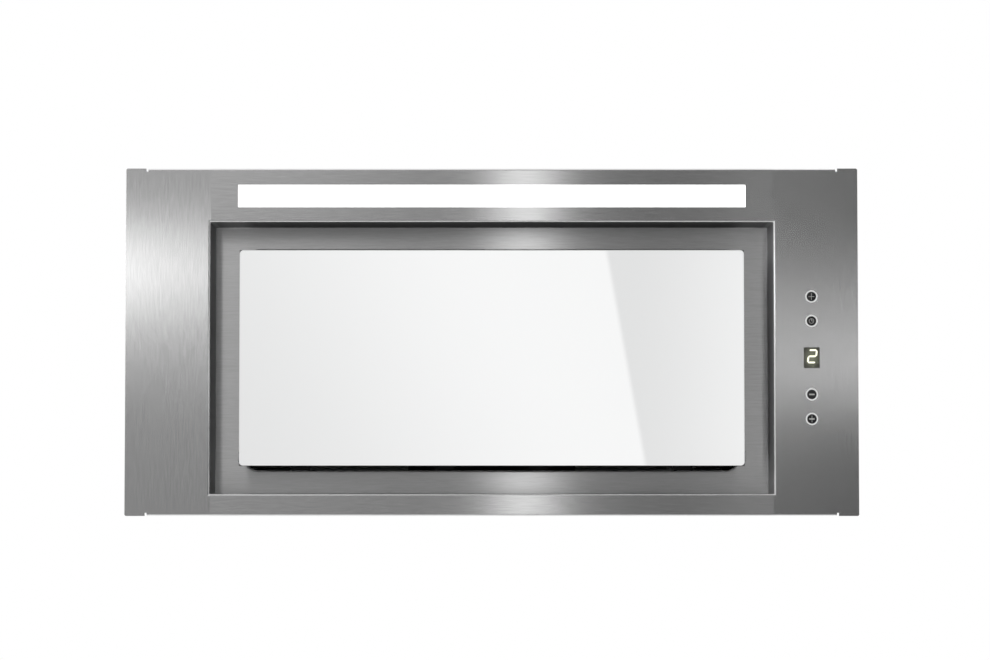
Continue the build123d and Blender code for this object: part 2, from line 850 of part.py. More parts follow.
def side_plate(side):
    """Side of the housing, with flanges turned inwards and the holes for the cabinet screws."""
    outer = side * body_x
    flange_x = outer - side * (sheet + seam_flange) / 2
    half = body_y - sheet
    flange_length = wall_top - sheet - 2 * corner_gap
    with BuildPart() as plate:
        with BuildSketch(Plane.YZ.offset(outer - side * sheet)) as plate_face:
            with Locations((0, (sheet + wall_top) / 2)):
                Rectangle(2 * half, wall_top - sheet)
                with GridLocations(2 * half, wall_top - sheet, 2, 2):
                    Rectangle(2 * corner_gap, 2 * corner_gap, mode=Mode.SUBTRACT)
        extrude(amount=side * sheet)
        with Locations(
            (flange_x, half - sheet / 2, (sheet + wall_top) / 2),
            (flange_x, sheet / 2 - half, (sheet + wall_top) / 2),
        ):
            Box(seam_flange + sheet, sheet, flange_length)
        with Locations((flange_x, 0, wall_top - sheet / 2)):
            Box(seam_flange + sheet, 2 * half - 2 * corner_gap, sheet)
        folds = plate.edges().filter_by(
            lambda edge: near(edge.center().X, outer)
            and (near(abs(edge.center().Y), half) or near(edge.center().Z, wall_top))
        )
        fillet(folds, radius=bend + sheet)
        with BuildSketch(Plane.YZ.offset(outer)) as cabinet_holes:
            with Locations((0, mount_z)):
                with GridLocations(mount_spacing, 1, 2, 1):
                    Circle(mount_hole / 2)
        extrude(amount=-side * 2 * sheet, mode=Mode.SUBTRACT)
    return plate


keep(side_plate(-1), "side_plate_left")
keep(side_plate(1), "side_plate_right")

# Blower: two moulded scroll halves round a double-inlet wheel
half_step = volute_step / 2
centres = [(-half_step, half_step), (-half_step, -half_step), (half_step, -half_step), (half_step, half_step)]
with BuildSketch() as volute:
    with BuildLine() as volute_line:
        arcs = []
        for quarter, ((u, v), radius) in enumerate(zip(centres, radii)):
            start = 90 * quarter if quarter else tongue_angle
            arcs.append(CenterArc((wheel_y + u, wheel_z + v), radius, start, 90 * quarter + 90 - start))
        tongue = arcs[0] @ 0
        belly = arcs[3] @ 1
        Line(belly, (belly.X, wall_top))
        Line((belly.X, wall_top), (tongue.X, wall_top))
        Line((tongue.X, wall_top), tongue)
    make_face()

wheel_plane = Plane((0, wheel_y, wheel_z), x_dir=(0, 1, 0), z_dir=(1, 0, 0))
side_face = scroll_half + scroll_wall
mouth_face = side_face + inlet_lip
lug_spots = []
for turn, (u, v), radius in zip(lug_turns, centres[1:], radii[1:]):
    reach = radius + scroll_wall + lug_size / 4
    bearing = math.radians(turn)
    lug_spots.append((wheel_y + u + reach * math.cos(bearing), wheel_z + v + reach * math.sin(bearing)))


def scroll_shell(side):
    """One half of the scroll, split at the middle of the wheel, with its inlet ring and outlet flange."""
    with BuildPart() as shell:
        with BuildSketch(Plane.YZ) as outer_volute:
            add(volute.sketch)
            offset(amount=scroll_wall)
        extrude(amount=side * side_face)
        split(bisect_by=Plane.XY.offset(wall_top), keep=Keep.BOTTOM)
        with BuildSketch(Plane.XY.offset(wall_top - outlet_flange)) as outlet_plate:
            with Locations((side * flange_half / 2, collar_y)):
                Rectangle(flange_half, 2 * flange_half)
        extrude(amount=outlet_flange)
        with BuildSketch(Plane.YZ) as lugs:
            for spot, turn in zip(lug_spots, lug_turns):
                with Locations(Location(spot, turn)):
                    Trapezoid(lug_size, lug_size, lug_slope, rotation=-90)
        extrude(amount=side * lug_depth)
        with BuildSketch(wheel_plane.offset(side * side_face)) as bell_mouth:
            Circle(inlet_radius + scroll_wall)
        extrude(amount=side * inlet_lip)
        with BuildSketch(wheel_plane.offset(side * side_face)) as ribs:
            with PolarLocations(inlet_radius + rib_length / 2, rib_count):
                Rectangle(rib_length, scroll_wall)
        extrude(amount=side * rib_height)
        with BuildSketch(Plane.YZ) as inner_volute:
            add(volute.sketch)
        extrude(amount=side * scroll_half, mode=Mode.SUBTRACT)
        with BuildSketch(wheel_plane.offset(side * mouth_face)) as inlet:
            Circle(inlet_radius)
        extrude(amount=-side * (inlet_lip + 2 * scroll_wall), mode=Mode.SUBTRACT)
        with BuildSketch(Plane.XY.offset(wall_top)) as flange_holes:
            with Locations((0, collar_y)):
                with PolarLocations(collar_screw_radius, 2, start_angle=collar_screw_turn):
                    Circle(thread_d / 2)
        extrude(amount=-2 * outlet_flange, mode=Mode.SUBTRACT)
    return shell


keep(scroll_shell(-1), "scroll_left")
keep(scroll_shell(1), "scroll_right")

# Wheel: two moulded halves with forward-curved blades, welded disc to disc and driven at the hub
blade_inner = wheel_radius - blade_depth
with BuildSketch() as blade:
    with BuildLine() as blade_line:
        root = (blade_inner + ring_lap, 0)
        tip = (wheel_radius, blade_lead)
        knee = ((root[0] + tip[0]) / 2, blade_lead / 2 - blade_bow)
        bent_plate = Polyline(root, knee, tip)
        offset(bent_plate, amount=blade_thickness, side=Side.LEFT)
    make_face()


def wheel_half(side):
    """Half of the wheel: blades between the end ring and the shared disc, with half of the hub."""
    with BuildPart() as half:
        with BuildSketch(wheel_plane) as blades:
            with PolarLocations(0, blade_count):
                add(blade.sketch)
        extrude(amount=side * wheel_width / 2)
        with BuildSketch(wheel_plane.offset(side * wheel_width / 2)) as end_ring:
            Circle(wheel_radius + ring_lap)
            Circle(blade_inner, mode=Mode.SUBTRACT)
        extrude(amount=-side * wheel_ring)
        with BuildSketch(wheel_plane) as disc:
            Circle(wheel_radius + ring_lap)
        extrude(amount=side * disc_thickness / 2)
        with BuildSketch(wheel_plane) as hub_boss:
            Circle(hub_radius)
        extrude(amount=side * hub_length / 2)
        with BuildSketch(wheel_plane) as hub_bore:
            Circle(shaft_d / 2)
        extrude(amount=side * hub_length / 2, mode=Mode.SUBTRACT)
    return half


keep(wheel_half(-1), "impeller_left")
keep(wheel_half(1), "impeller_right")

motor_end = motor_start + motor_length
with BuildPart() as motor_shaft:
    with BuildSketch(wheel_plane.offset(-hub_length / 2 - shaft_end)) as shaft_section:
        Circle(shaft_d / 2)
    extrude(amount=hub_length / 2 + motor_end + bracket_thickness + 2 * shaft_end)
keep(motor_shaft, "motor_shaft")

with BuildPart() as motor:
    with BuildSketch(wheel_plane.offset(motor_start)) as motor_can:
        Circle(motor_radius)
        with PolarLocations(motor_radius, slot_count):
            Rectangle(2 * slot_depth, slot_width, mode=Mode.SUBTRACT)
    extrude(amount=motor_length)
    with BuildSketch(wheel_plane.offset(motor_start - bearing_boss)) as boss:
        Circle(bearing_radius)
    extrude(amount=bearing_boss)
    with BuildSketch(wheel_plane.offset(motor_start - bearing_boss)) as shaft_way:
        Circle(shaft_d / 2 + shaft_play)
    extrude(amount=motor_length + bearing_boss, mode=Mode.SUBTRACT)
keep(motor, "motor")

with BuildPart() as motor_bracket:
    with BuildSketch(wheel_plane.offset(motor_end)) as spider:
        RegularPolygon(bracket_hub, 6)
        for turn in arm_turns:
            with PolarLocations(arm_bolt_radius / 2, 1, start_angle=turn):
                Rectangle(arm_bolt_radius + grommet_d, bracket_width)
        Circle(shaft_d / 2 + bracket_play, mode=Mode.SUBTRACT)
    extrude(amount=bracket_thickness)
keep(motor_bracket, "motor_bracket")

with BuildPart() as motor_grommets:
    with BuildSketch(wheel_plane.offset(side_face)) as rubber:
        for turn in arm_turns:
            with PolarLocations(arm_bolt_radius, 1, start_angle=turn):
                Circle(grommet_d / 2)
    extrude(amount=motor_end - side_face)
keep(motor_grommets, "motor_grommets")

# Outlet collar with two half-round flaps that the air lifts
collar_bore = collar_d / 2 - collar_wall
damper_z = body_top + damper_height
pin_ys = [collar_y + side * damper_offset for side in (-1, 1)]
with BuildPart() as outlet_collar:
    with BuildSketch(Plane.XY.offset(body_top)) as base_ring:
        with Locations((0, collar_y)):
            Circle(collar_d / 2 + collar_flange)
            Circle(collar_bore, mode=Mode.SUBTRACT)
            with PolarLocations(collar_screw_radius, 2, start_angle=collar_screw_turn):
                Circle(screw_hole / 2, mode=Mode.SUBTRACT)
    extrude(amount=collar_base)
    with BuildSketch(Plane.XY.offset(body_top)) as spigot:
        with Locations((0, collar_y)):
            Circle(collar_d / 2)
            Circle(collar_bore, mode=Mode.SUBTRACT)
    extrude(amount=collar_height)
    with BuildSketch(Plane.XY.offset(damper_z - damper_thickness / 2 - stop_air)) as flap_stops:
        with Locations((0, collar_y)):
            with PolarLocations(collar_bore - stop_reach / 2, 4, start_angle=45):
                Rectangle(stop_reach + collar_wall, stop_width)
    extrude(amount=-collar_wall)
    with BuildSketch(Plane.YZ.offset(-collar_d)) as pin_holes:
        with Locations([(y, damper_z) for y in pin_ys]):
            Circle(damper_pin / 2 + pin_play)
    extrude(amount=2 * collar_d, mode=Mode.SUBTRACT)
keep(outlet_collar, "outlet_collar")


def damper_flap(side):
    """Half disc with a round bar along its straight edge, which ends in two hinge pins."""
    pin_y = collar_y + side * damper_offset
    with BuildPart() as flap:
        with BuildSketch(Plane.XY.offset(damper_z - damper_thickness / 2)) as half_disc:
            with Locations((0, collar_y)):
                Circle(collar_bore - damper_air)
            with Locations((0, pin_y - side * collar_d)):
                Rectangle(2 * collar_d, 2 * collar_d, mode=Mode.SUBTRACT)
        extrude(amount=damper_thickness)
        bars = ((damper_bar / 2, damper_bar_half), (damper_pin / 2, collar_d / 2 - pin_recess))
        for radius, half_length in bars:
            with BuildSketch(Plane.YZ.offset(-half_length)) as bar_section:
                with Locations((pin_y, damper_z)):
                    Circle(radius)
            extrude(amount=2 * half_length)
    return flap


keep(damper_flap(-1), "damper_flap_front")
keep(damper_flap(1), "damper_flap_rear")

# Screws that hold the outlet collar and the scroll to the top of the housing
with BuildPart() as collar_screws:
    with BuildSketch(Plane.XY.offset(body_top + collar_base)) as screw_heads:
        with Locations((0, collar_y)):
            with PolarLocations(collar_screw_radius, 2, start_angle=collar_screw_turn):
                RegularPolygon(head_across / 2, 6, major_radius=False)
    extrude(amount=head_height)
    with BuildSketch(Plane.XY.offset(body_top + collar_base)) as screw_shanks:
        with Locations((0, collar_y)):
            with PolarLocations(collar_screw_radius, 2, start_angle=collar_screw_turn):
                Circle(screw_d / 2)
    extrude(amount=-shank)
keep(collar_screws, "collar_screws")

# Electrical pieces on the side plates and under the top
with BuildPart() as led_driver:
    with Locations((driver_size[0] / 2 - inner_wall, 0, driver_height + driver_size[2] / 2)):
        Box(*driver_size)
    chamfer(led_driver.edges().filter_by(Axis.Y), length=driver_edge)
    with BuildSketch(Plane.YZ.offset(-inner_wall)) as driver_feet:
        with Locations((0, driver_height + driver_size[2] / 2)):
            with GridLocations(driver_size[1] + foot_size[1] - 2 * foot_tuck, 1, 2, 1):
                Rectangle(foot_size[1], foot_size[2])
    extrude(amount=foot_size[0])
keep(led_driver, "led_driver")

module_inner = inner_wall - module_size[0]
with BuildPart() as power_module:
    with Locations((inner_wall - module_size[0] / 2, 0, module_height + module_size[2] / 2)):
        Box(*module_size)
    chamfer(power_module.faces().sort_by(Axis.X)[0].edges(), length=module_edge)
    with BuildSketch(Plane.YZ.offset(inner_wall)) as module_feet:
        with Locations((0, module_height + module_size[2] / 2)):
            with GridLocations(module_size[1] + foot_size[1] - 2 * foot_tuck, 1, 2, 1):
                Rectangle(foot_size[1], foot_size[2])
    extrude(amount=-foot_size[0])
    with BuildSketch(Plane.YZ.offset(module_inner)) as sockets:
        with Locations((0, module_height + module_size[2] / 3)):
            with GridLocations(socket_pitch, 1, socket_count, 1):
                Rectangle(socket_size[0], socket_size[1])
    extrude(amount=-socket_size[2])
keep(power_module, "power_module")

capacitor_end = inner_wall - capacitor_length
with BuildPart() as run_capacitor:
    with BuildSketch(Plane.YZ.offset(inner_wall)) as can:
        with Locations((0, capacitor_height)):
            Circle(capacitor_d / 2)
    extrude(amount=-capacitor_length)
    with BuildSketch(Plane.YZ.offset(capacitor_end)) as tabs:
        with Locations((0, capacitor_height)):
            with GridLocations(2 * tab_size[1], 1, 2, 1):
                Rectangle(tab_size[0], tab_size[1])
    extrude(amount=-tab_size[2])
keep(run_capacitor, "run_capacitor")

with BuildPart() as cable_gland:
    with BuildSketch(Plane.XY.offset(body_top)) as gland_hex:
        with Locations((gland_x, gland_y)):
            RegularPolygon(gland_d / 2 + gland_hex_lap, 6, major_radius=False)
    extrude(amount=gland_hex_height)
    with BuildSketch(Plane.XY.offset(body_top + gland_hex_height)) as gland_dome:
        with Locations((gland_x, gland_y)):
            RegularPolygon(gland_d / 2 + gland_dome_lap, 6, major_radius=False)
    extrude(amount=gland_dome_height, taper=gland_dome_slope)
    with BuildSketch(Plane.XY.offset(body_top)) as gland_thread:
        with Locations((gland_x, gland_y)):
            Circle(gland_d / 2)
    extrude(amount=-sheet)
    with BuildSketch(Plane.XY.offset(wall_top)) as locking_nut:
        with Locations((gland_x, gland_y)):
            RegularPolygon(gland_d / 2 + gland_hex_lap, 6, major_radius=False)
    extrude(amount=-gland_nut_height)
    with BuildSketch(Plane.XY.offset(wall_top - gland_nut_height)) as gland_way:
        with Locations((gland_x, gland_y)):
            Circle(gland_bore / 2)
    extrude(
        amount=gland_nut_height + sheet + gland_hex_height + gland_dome_height, mode=Mode.SUBTRACT
    )
keep(cable_gland, "cable_gland")

with BuildPart() as terminal_block:
    with Locations((terminal_x, gland_y, wall_top - terminal_size[2] / 2)):
        Box(*terminal_size)
    chamfer(terminal_block.faces().sort_by(Axis.Z)[0].edges(), length=terminal_edge)
    with BuildSketch(Plane.XY.offset(wall_top - terminal_size[2])) as wire_wells:
        with Locations((terminal_x, gland_y)):
            with GridLocations(terminal_pitch, 1, 3, 1):
                Rectangle(terminal_pitch / 2, terminal_pitch / 2)
    extrude(amount=terminal_size[2] / 3, mode=Mode.SUBTRACT)
keep(terminal_block, "terminal_block")
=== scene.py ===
"""Looks of a built-in range hood, which hangs under a cabinet with its steel panel facing down.

Metres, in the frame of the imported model: +X along the front edge towards the controls, +Y from
the room to the wall, +Z up into the cabinet. The visible face of the panel lies at z = 0.
"""
import json
import math

import bmesh
import bpy
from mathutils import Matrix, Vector


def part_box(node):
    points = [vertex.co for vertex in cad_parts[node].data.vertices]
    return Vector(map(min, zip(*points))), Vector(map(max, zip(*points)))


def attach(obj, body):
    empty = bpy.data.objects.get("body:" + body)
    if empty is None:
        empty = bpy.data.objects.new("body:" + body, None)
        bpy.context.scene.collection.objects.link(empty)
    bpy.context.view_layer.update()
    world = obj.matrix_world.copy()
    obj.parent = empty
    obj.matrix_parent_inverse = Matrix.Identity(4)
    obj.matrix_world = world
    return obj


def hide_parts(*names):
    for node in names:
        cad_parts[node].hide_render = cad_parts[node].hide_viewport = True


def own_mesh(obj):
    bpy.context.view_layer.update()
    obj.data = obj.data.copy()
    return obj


MM = 0.001
MERGE_REACH = 1e-6
SIDES = ("left", "right")
BUTTONS = ("power", "timer", "less", "more")

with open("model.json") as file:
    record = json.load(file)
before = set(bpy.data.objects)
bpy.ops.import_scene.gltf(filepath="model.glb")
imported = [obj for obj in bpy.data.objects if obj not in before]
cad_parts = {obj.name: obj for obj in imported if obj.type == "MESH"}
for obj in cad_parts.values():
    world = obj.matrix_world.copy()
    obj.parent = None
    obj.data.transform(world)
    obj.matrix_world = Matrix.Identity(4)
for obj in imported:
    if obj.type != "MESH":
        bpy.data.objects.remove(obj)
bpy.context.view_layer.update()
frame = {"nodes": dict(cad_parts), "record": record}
nodes = frame["nodes"]


def link_object(name, data):
    """A new object that holds the data, in the scene."""
    made = bpy.data.objects.new(name, data)
    bpy.context.scene.collection.objects.link(made)
    return made


def middle_of(name):
    """The middle of a node's box."""
    low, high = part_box(name)
    return (low + high) / 2


# Camera: below the hood, under the rear half of the panel, with the front edge on top.
# The panel's centre and scale are in pixels of the picture
IMAGE_WIDTH = 990
IMAGE_HEIGHT = 660
PIXELS_PER_METRE = 1227.4
PANEL_CENTRE = (491.8, 341.75)
CAMERA_DISTANCE = 2.0
CAMERA_Y = 0.120
SHIFT_Y = 0.06
SENSOR_WIDTH = 36.0


def add_camera():
    """The camera, tilted so that the panel's centre falls where the picture has it."""
    focal_pixels = PIXELS_PER_METRE * CAMERA_DISTANCE
    axis_above = IMAGE_HEIGHT / 2 + SHIFT_Y * IMAGE_WIDTH - PANEL_CENTRE[1]
    tilt = math.atan(CAMERA_Y / CAMERA_DISTANCE) - math.atan(axis_above / focal_pixels)
    data = bpy.data.cameras.new("photo_camera")
    data.sensor_width = SENSOR_WIDTH
    data.lens = focal_pixels / IMAGE_WIDTH * SENSOR_WIDTH
    data.shift_x = (IMAGE_WIDTH / 2 - PANEL_CENTRE[0]) / IMAGE_WIDTH
    data.shift_y = SHIFT_Y
    camera = link_object("photo_camera", data)
    camera.location = (0, CAMERA_Y, -CAMERA_DISTANCE)
    camera.rotation_euler = (math.pi + tilt, 0, 0)
    bpy.context.scene.camera = camera


add_camera()
bpy.context.scene.view_settings.view_transform = "Standard"


# Helpers for node trees
FLOAT = "NodeSocketFloat"
VECTOR = "NodeSocketVector"
# By kind of Mix node: the sockets of the factor and of both values, and the result's place
MIX_SOCKETS = {"FLOAT": ((0, 2, 3), 0), "VECTOR": ((0, 4, 5), 1), "RGBA": ((0, 6, 7), 2)}


def feed(tree, value, socket):
    """Link a socket to an input, or set the input to a plain value."""
    if isinstance(value, bpy.types.NodeSocket):
        tree.links.new(value, socket)
    else:
        socket.default_value = value


def add_node(tree, kind, inputs=None, **settings):
    """Add a node, set its properties, and feed its inputs by name or index."""
    made = tree.nodes.new(kind)
    for key, value in settings.items():
        setattr(made, key, value)
    for key, value in (inputs or {}).items():
        feed(tree, value, made.inputs[key])
    return made


def math_node(tree, operation, *values):
    """A Math node's result for one to three numbers or sockets."""
    return add_node(tree, "ShaderNodeMath", dict(enumerate(values)), operation=operation).outputs[0]


def vector_math(tree, operation, *values):
    """A Vector Math node's result for one to three vectors or sockets."""
    made = add_node(tree, "ShaderNodeVectorMath", dict(enumerate(values)), operation=operation)
    return made.outputs["Value" if operation == "LENGTH" else "Vector"]


def split_vector(tree, vector):
    """The three parts of a vector."""
    return add_node(tree, "ShaderNodeSeparateXYZ", {0: vector}).outputs


def join_vector(tree, x, y, z=0.0):
    """A vector from three numbers or sockets."""
    return add_node(tree, "ShaderNodeCombineXYZ", {0: x, 1: y, 2: z}).outputs[0]


def noise(tree, position, scale, detail=2.0, roughness=0.5):
    """The value of a noise at a position."""
    inputs = {"Vector": position, "Scale": scale, "Detail": detail, "Roughness": roughness}
    return add_node(tree, "ShaderNodeTexNoise", inputs).outputs[0]


def smooth_step(tree, value, low, high, out_low=0.0, out_high=1.0):
    """A value eased from out_low to out_high while the input goes from low to high."""
    inputs = {0: value, 1: low, 2: high, 3: out_low, 4: out_high}
    made = add_node(tree, "ShaderNodeMapRange", inputs, interpolation_type="SMOOTHSTEP")
    return made.outputs[0]


def mix(tree, kind, factor, first, second, blend="MIX"):
    """The mix of two values or sockets of one kind."""
    sockets, result = MIX_SOCKETS[kind]
    inputs = dict(zip(sockets, (factor, first, second)))
    return add_node(tree, "ShaderNodeMix", inputs, data_type=kind, blend_type=blend).outputs[result]


def mix_colors(tree, factor, first, second, blend="MIX"):
    """The mix of two colours, each a socket or its red, green and blue."""
    colors = [
        value if isinstance(value, bpy.types.NodeSocket) else (*value, 1)
        for value in (first, second)
    ]
    return mix(tree, "RGBA", factor, *colors, blend)


def shader_group(name, inputs, outputs):
    """An empty shader node group, with the sockets that it takes in and puts out by name."""
    group = bpy.data.node_groups.new(name, "ShaderNodeTree")
    for label, kind, default in inputs:
        socket = group.interface.new_socket(label, in_out="INPUT", socket_type=kind)
        if default is not None:
            socket.default_value = default
    for label in outputs:
        group.interface.new_socket(label, in_out="OUTPUT", socket_type=FLOAT)
    entry = group.nodes.new("NodeGroupInput").outputs
    return group, entry, group.nodes.new("NodeGroupOutput").inputs


def place_group(tree, group, inputs):
    """Place a group in a tree, feed its inputs and give its outputs."""
    return add_node(tree, "ShaderNodeGroup", inputs, node_tree=group).outputs


# Effects that several materials share. Each detail is a noise's detail and roughness
STREAK_DETAIL = (3.0, 0.65)
CLOUD_SCALE = 9.0
CLOUD_DETAIL = (3.0, 0.55)
WARP_SCALE = 60.0
WARP_PUSH = 6 * MM
FEATHER_TIMES = 5.0
FEATHER_SHARE = 0.35
SPANGLE_SHARE = 0.74
MARK_SCALE = 35.0
MARK_DETAIL = 4.0
MARK_RANGE = (0.35, 0.7)


def make_grain_group():
    """Brushed grain: long fine streaks along the first axis of the position, and clouds."""
    group, entry, end = shader_group(
        "brushed_grain",
        [
            ("Position", VECTOR, None),
            ("Streaks per metre", FLOAT, 900.0),
            ("Length share", FLOAT, 0.02),
        ],
        ("Streaks", "Clouds"),
    )
    across = entry["Streaks per metre"]
    along = math_node(group, "MULTIPLY", across, entry["Length share"])
    scale = join_vector(group, along, across, across)
    stretched = vector_math(group, "MULTIPLY", entry["Position"], scale)
    group.links.new(noise(group, stretched, 1.0, *STREAK_DETAIL), end["Streaks"])
    group.links.new(noise(group, entry["Position"], CLOUD_SCALE, *CLOUD_DETAIL), end["Clouds"])
    return group


def make_spangle_group():
    """Zinc crystals of galvanised sheet: feathered cells of slightly different shade."""
    group, entry, end = shader_group(
        "zinc_spangle",
        [("Position", VECTOR, None), ("Cells per metre", FLOAT, 170.0)],
        ("Shade", "Height"),
    )
    position, density = entry["Position"], entry["Cells per metre"]
    warp = add_node(group, "ShaderNodeTexNoise", {"Vector": position, "Scale": WARP_SCALE})
    pushed = vector_math(group, "MULTIPLY_ADD", warp.outputs["Color"], [WARP_PUSH] * 3, position)
    cells = add_node(group, "ShaderNodeTexVoronoi", {"Vector": pushed, "Scale": density}).outputs
    shade = add_node(group, "ShaderNodeSeparateColor", {0: cells["Color"]}).outputs[0]
    feather = noise(group, pushed, math_node(group, "MULTIPLY", density, FEATHER_TIMES))
    shade = math_node(group, "MULTIPLY_ADD", feather, FEATHER_SHARE, shade)
    group.links.new(math_node(group, "MULTIPLY", shade, SPANGLE_SHARE), end["Shade"])
    group.links.new(cells["Distance"], end["Height"])
    return group


def make_mould_group():
    """Spark-eroded skin of moulded plastic, with soft handling marks."""
    group, entry, end = shader_group(
        "moulded_skin",
        [("Position", VECTOR, None), ("Grains per metre", FLOAT, 1800.0)],
        ("Height", "Marks"),
    )
    marks = noise(group, entry["Position"], MARK_SCALE, MARK_DETAIL)
    pits = noise(group, entry["Position"], entry["Grains per metre"])
    group.links.new(pits, end["Height"])
    group.links.new(smooth_step(group, marks, *MARK_RANGE), end["Marks"])
    return group


grain_group = make_grain_group()
spangle_group = make_spangle_group()
mould_group = make_mould_group()


def place_grain(tree, position, streaks_per_metre, length_share):
    """Brushed grain of a given fineness."""
    inputs = {
        "Position": position,
        "Streaks per metre": streaks_per_metre,
        "Length share": length_share,
    }
    return place_group(tree, grain_group, inputs)


def new_material(name, color, roughness, metallic=0.0, **sockets):
    """A material, its tree, its shader's inputs, and the position in object coordinates."""
    material = bpy.data.materials.new(name)
    material.use_nodes = True
    tree = material.node_tree
    shader = tree.nodes["Principled BSDF"].inputs
    shader["Base Color"].default_value = (*color, 1)
    shader["Roughness"].default_value = roughness
    shader["Metallic"].default_value = metallic
    for label, value in sockets.items():
        shader[label.replace("_", " ")].default_value = value
    position = tree.nodes.new("ShaderNodeTexCoord").outputs["Object"]
    return material, tree, shader, position


def set_bump(tree, shader, height, strength, distance):
    """Feed a height to the shader's normal. A relief below is a strength and a distance."""
    inputs = {"Height": height, "Strength": strength, "Distance": distance}
    tree.links.new(add_node(tree, "ShaderNodeBump", inputs).outputs[0], shader["Normal"])


# Brushed stainless steel, with painted shade on the walls round the recess and a painted highlight
# on the folded rim
PANEL_COLOR = (0.60, 0.60, 0.60)
# The deck's steel is painted lighter than the panel's: painted light against the shade in the
# recess
DECK_PAINTED_LIGHT_COLOR = (0.80, 0.80, 0.80)
DECK_METALLIC = 0.72
# Painted highlight: the colour of the folded rim, lighter than the panel
PAINTED_RIM_HIGHLIGHT = (0.86, 0.86, 0.86)
# Painted shade: the recess walls get a dark colour in place of the shade that falls there
PAINTED_WALL_SHADE = (0.16, 0.16, 0.163)
PAINTED_SIDE_WALL_SHADE = (0.25, 0.25, 0.254)
# Painted light on the side walls where the deck mirrors them, more on the right than on the left
LEFT_WALL_PAINTED_LIGHT = (0.75, 0.75, 0.755)
RIGHT_WALL_PAINTED_LIGHT = (1.0, 1.0, 1.0)
GRAIN_ROUGHNESS = 0.2
RIM_ROUGHNESS = 0.2
WALL_ROUGHNESS = 0.5
# Places on the panel, from its centre: distances along X, the recess along Y, the fold along Z
COLUMN_EDGE = 0.2295
SIDE_WALL_EDGE = 0.2265
WALL_REACH = COLUMN_EDGE + 4 * MM
RECESS_FRONT = -0.099
RECESS_REAR = 0.125
FOLD_DEPTH = 0.8 * MM
# How level a face lies, from 0 on an upright wall to 1 on the panel's face
WALL_LEVEL = (0.05, 0.35)
RIM_LEVEL_LOW = (0.15, 0.45)
RIM_LEVEL_HIGH = (0.9, 0.995)
# Streaks: how many to the metre, their length share and their share in the grain
FINE_STREAKS = (2400.0, 0.018, 0.55)
COARSE_STREAKS = (900.0, 0.08, 0.45)
STREAK_RANGE = (0.36, 0.64)
STREAK_SHADE = (0.925, 1.065)
STREAK_ROUGHNESS = (GRAIN_ROUGHNESS - 0.006, GRAIN_ROUGHNESS + 0.006)
CLOUD_RANGE = (0.4, 0.7)
CLOUD_ROUGHNESS = (0.0, 0.01)
STREAK_RELIEF = (0.012, 0.03 * MM)


def swap_axes(tree, position, share):
    """The position with X and Y exchanged where share is 1, so that streaks turn with it."""
    x, y, z = split_vector(tree, position)
    return mix(tree, "VECTOR", share, position, join_vector(tree, y, x, z))


def recess_wall_shade_mask(tree, parts, distance, level):
    """1 on the upright walls of the recess, from the fold of the rim inwards, where shade is
    painted.
    """
    mask = smooth_step(tree, level, *WALL_LEVEL, 1.0, 0.0)
    for check in (
        math_node(tree, "LESS_THAN", distance, WALL_REACH),
        math_node(tree, "GREATER_THAN", parts[1], RECESS_FRONT),
        math_node(tree, "LESS_THAN", parts[1], RECESS_REAR),
        math_node(tree, "GREATER_THAN", parts[2], FOLD_DEPTH),
    ):
        mask = math_node(tree, "MULTIPLY", mask, check)
    return mask


def painted_recess_wall_shade(tree, parts, distance):
    """Painted shade, darkest on the front and rear walls, with painted light on the side walls to
    reflected rays, more on the right.
    """
    right = math_node(tree, "GREATER_THAN", parts[0], 0.0)
    # Painted light: the side walls are lighter to reflected rays, the right one more
    painted_reflection = mix_colors(tree, right, LEFT_WALL_PAINTED_LIGHT, RIGHT_WALL_PAINTED_LIGHT)
    mirrored = tree.nodes.new("ShaderNodeLightPath").outputs["Is Glossy Ray"]
    painted_side_wall = mix_colors(tree, mirrored, PAINTED_SIDE_WALL_SHADE, painted_reflection)
    side = math_node(tree, "GREATER_THAN", distance, SIDE_WALL_EDGE)
    return mix_colors(tree, side, PAINTED_WALL_SHADE, painted_side_wall)


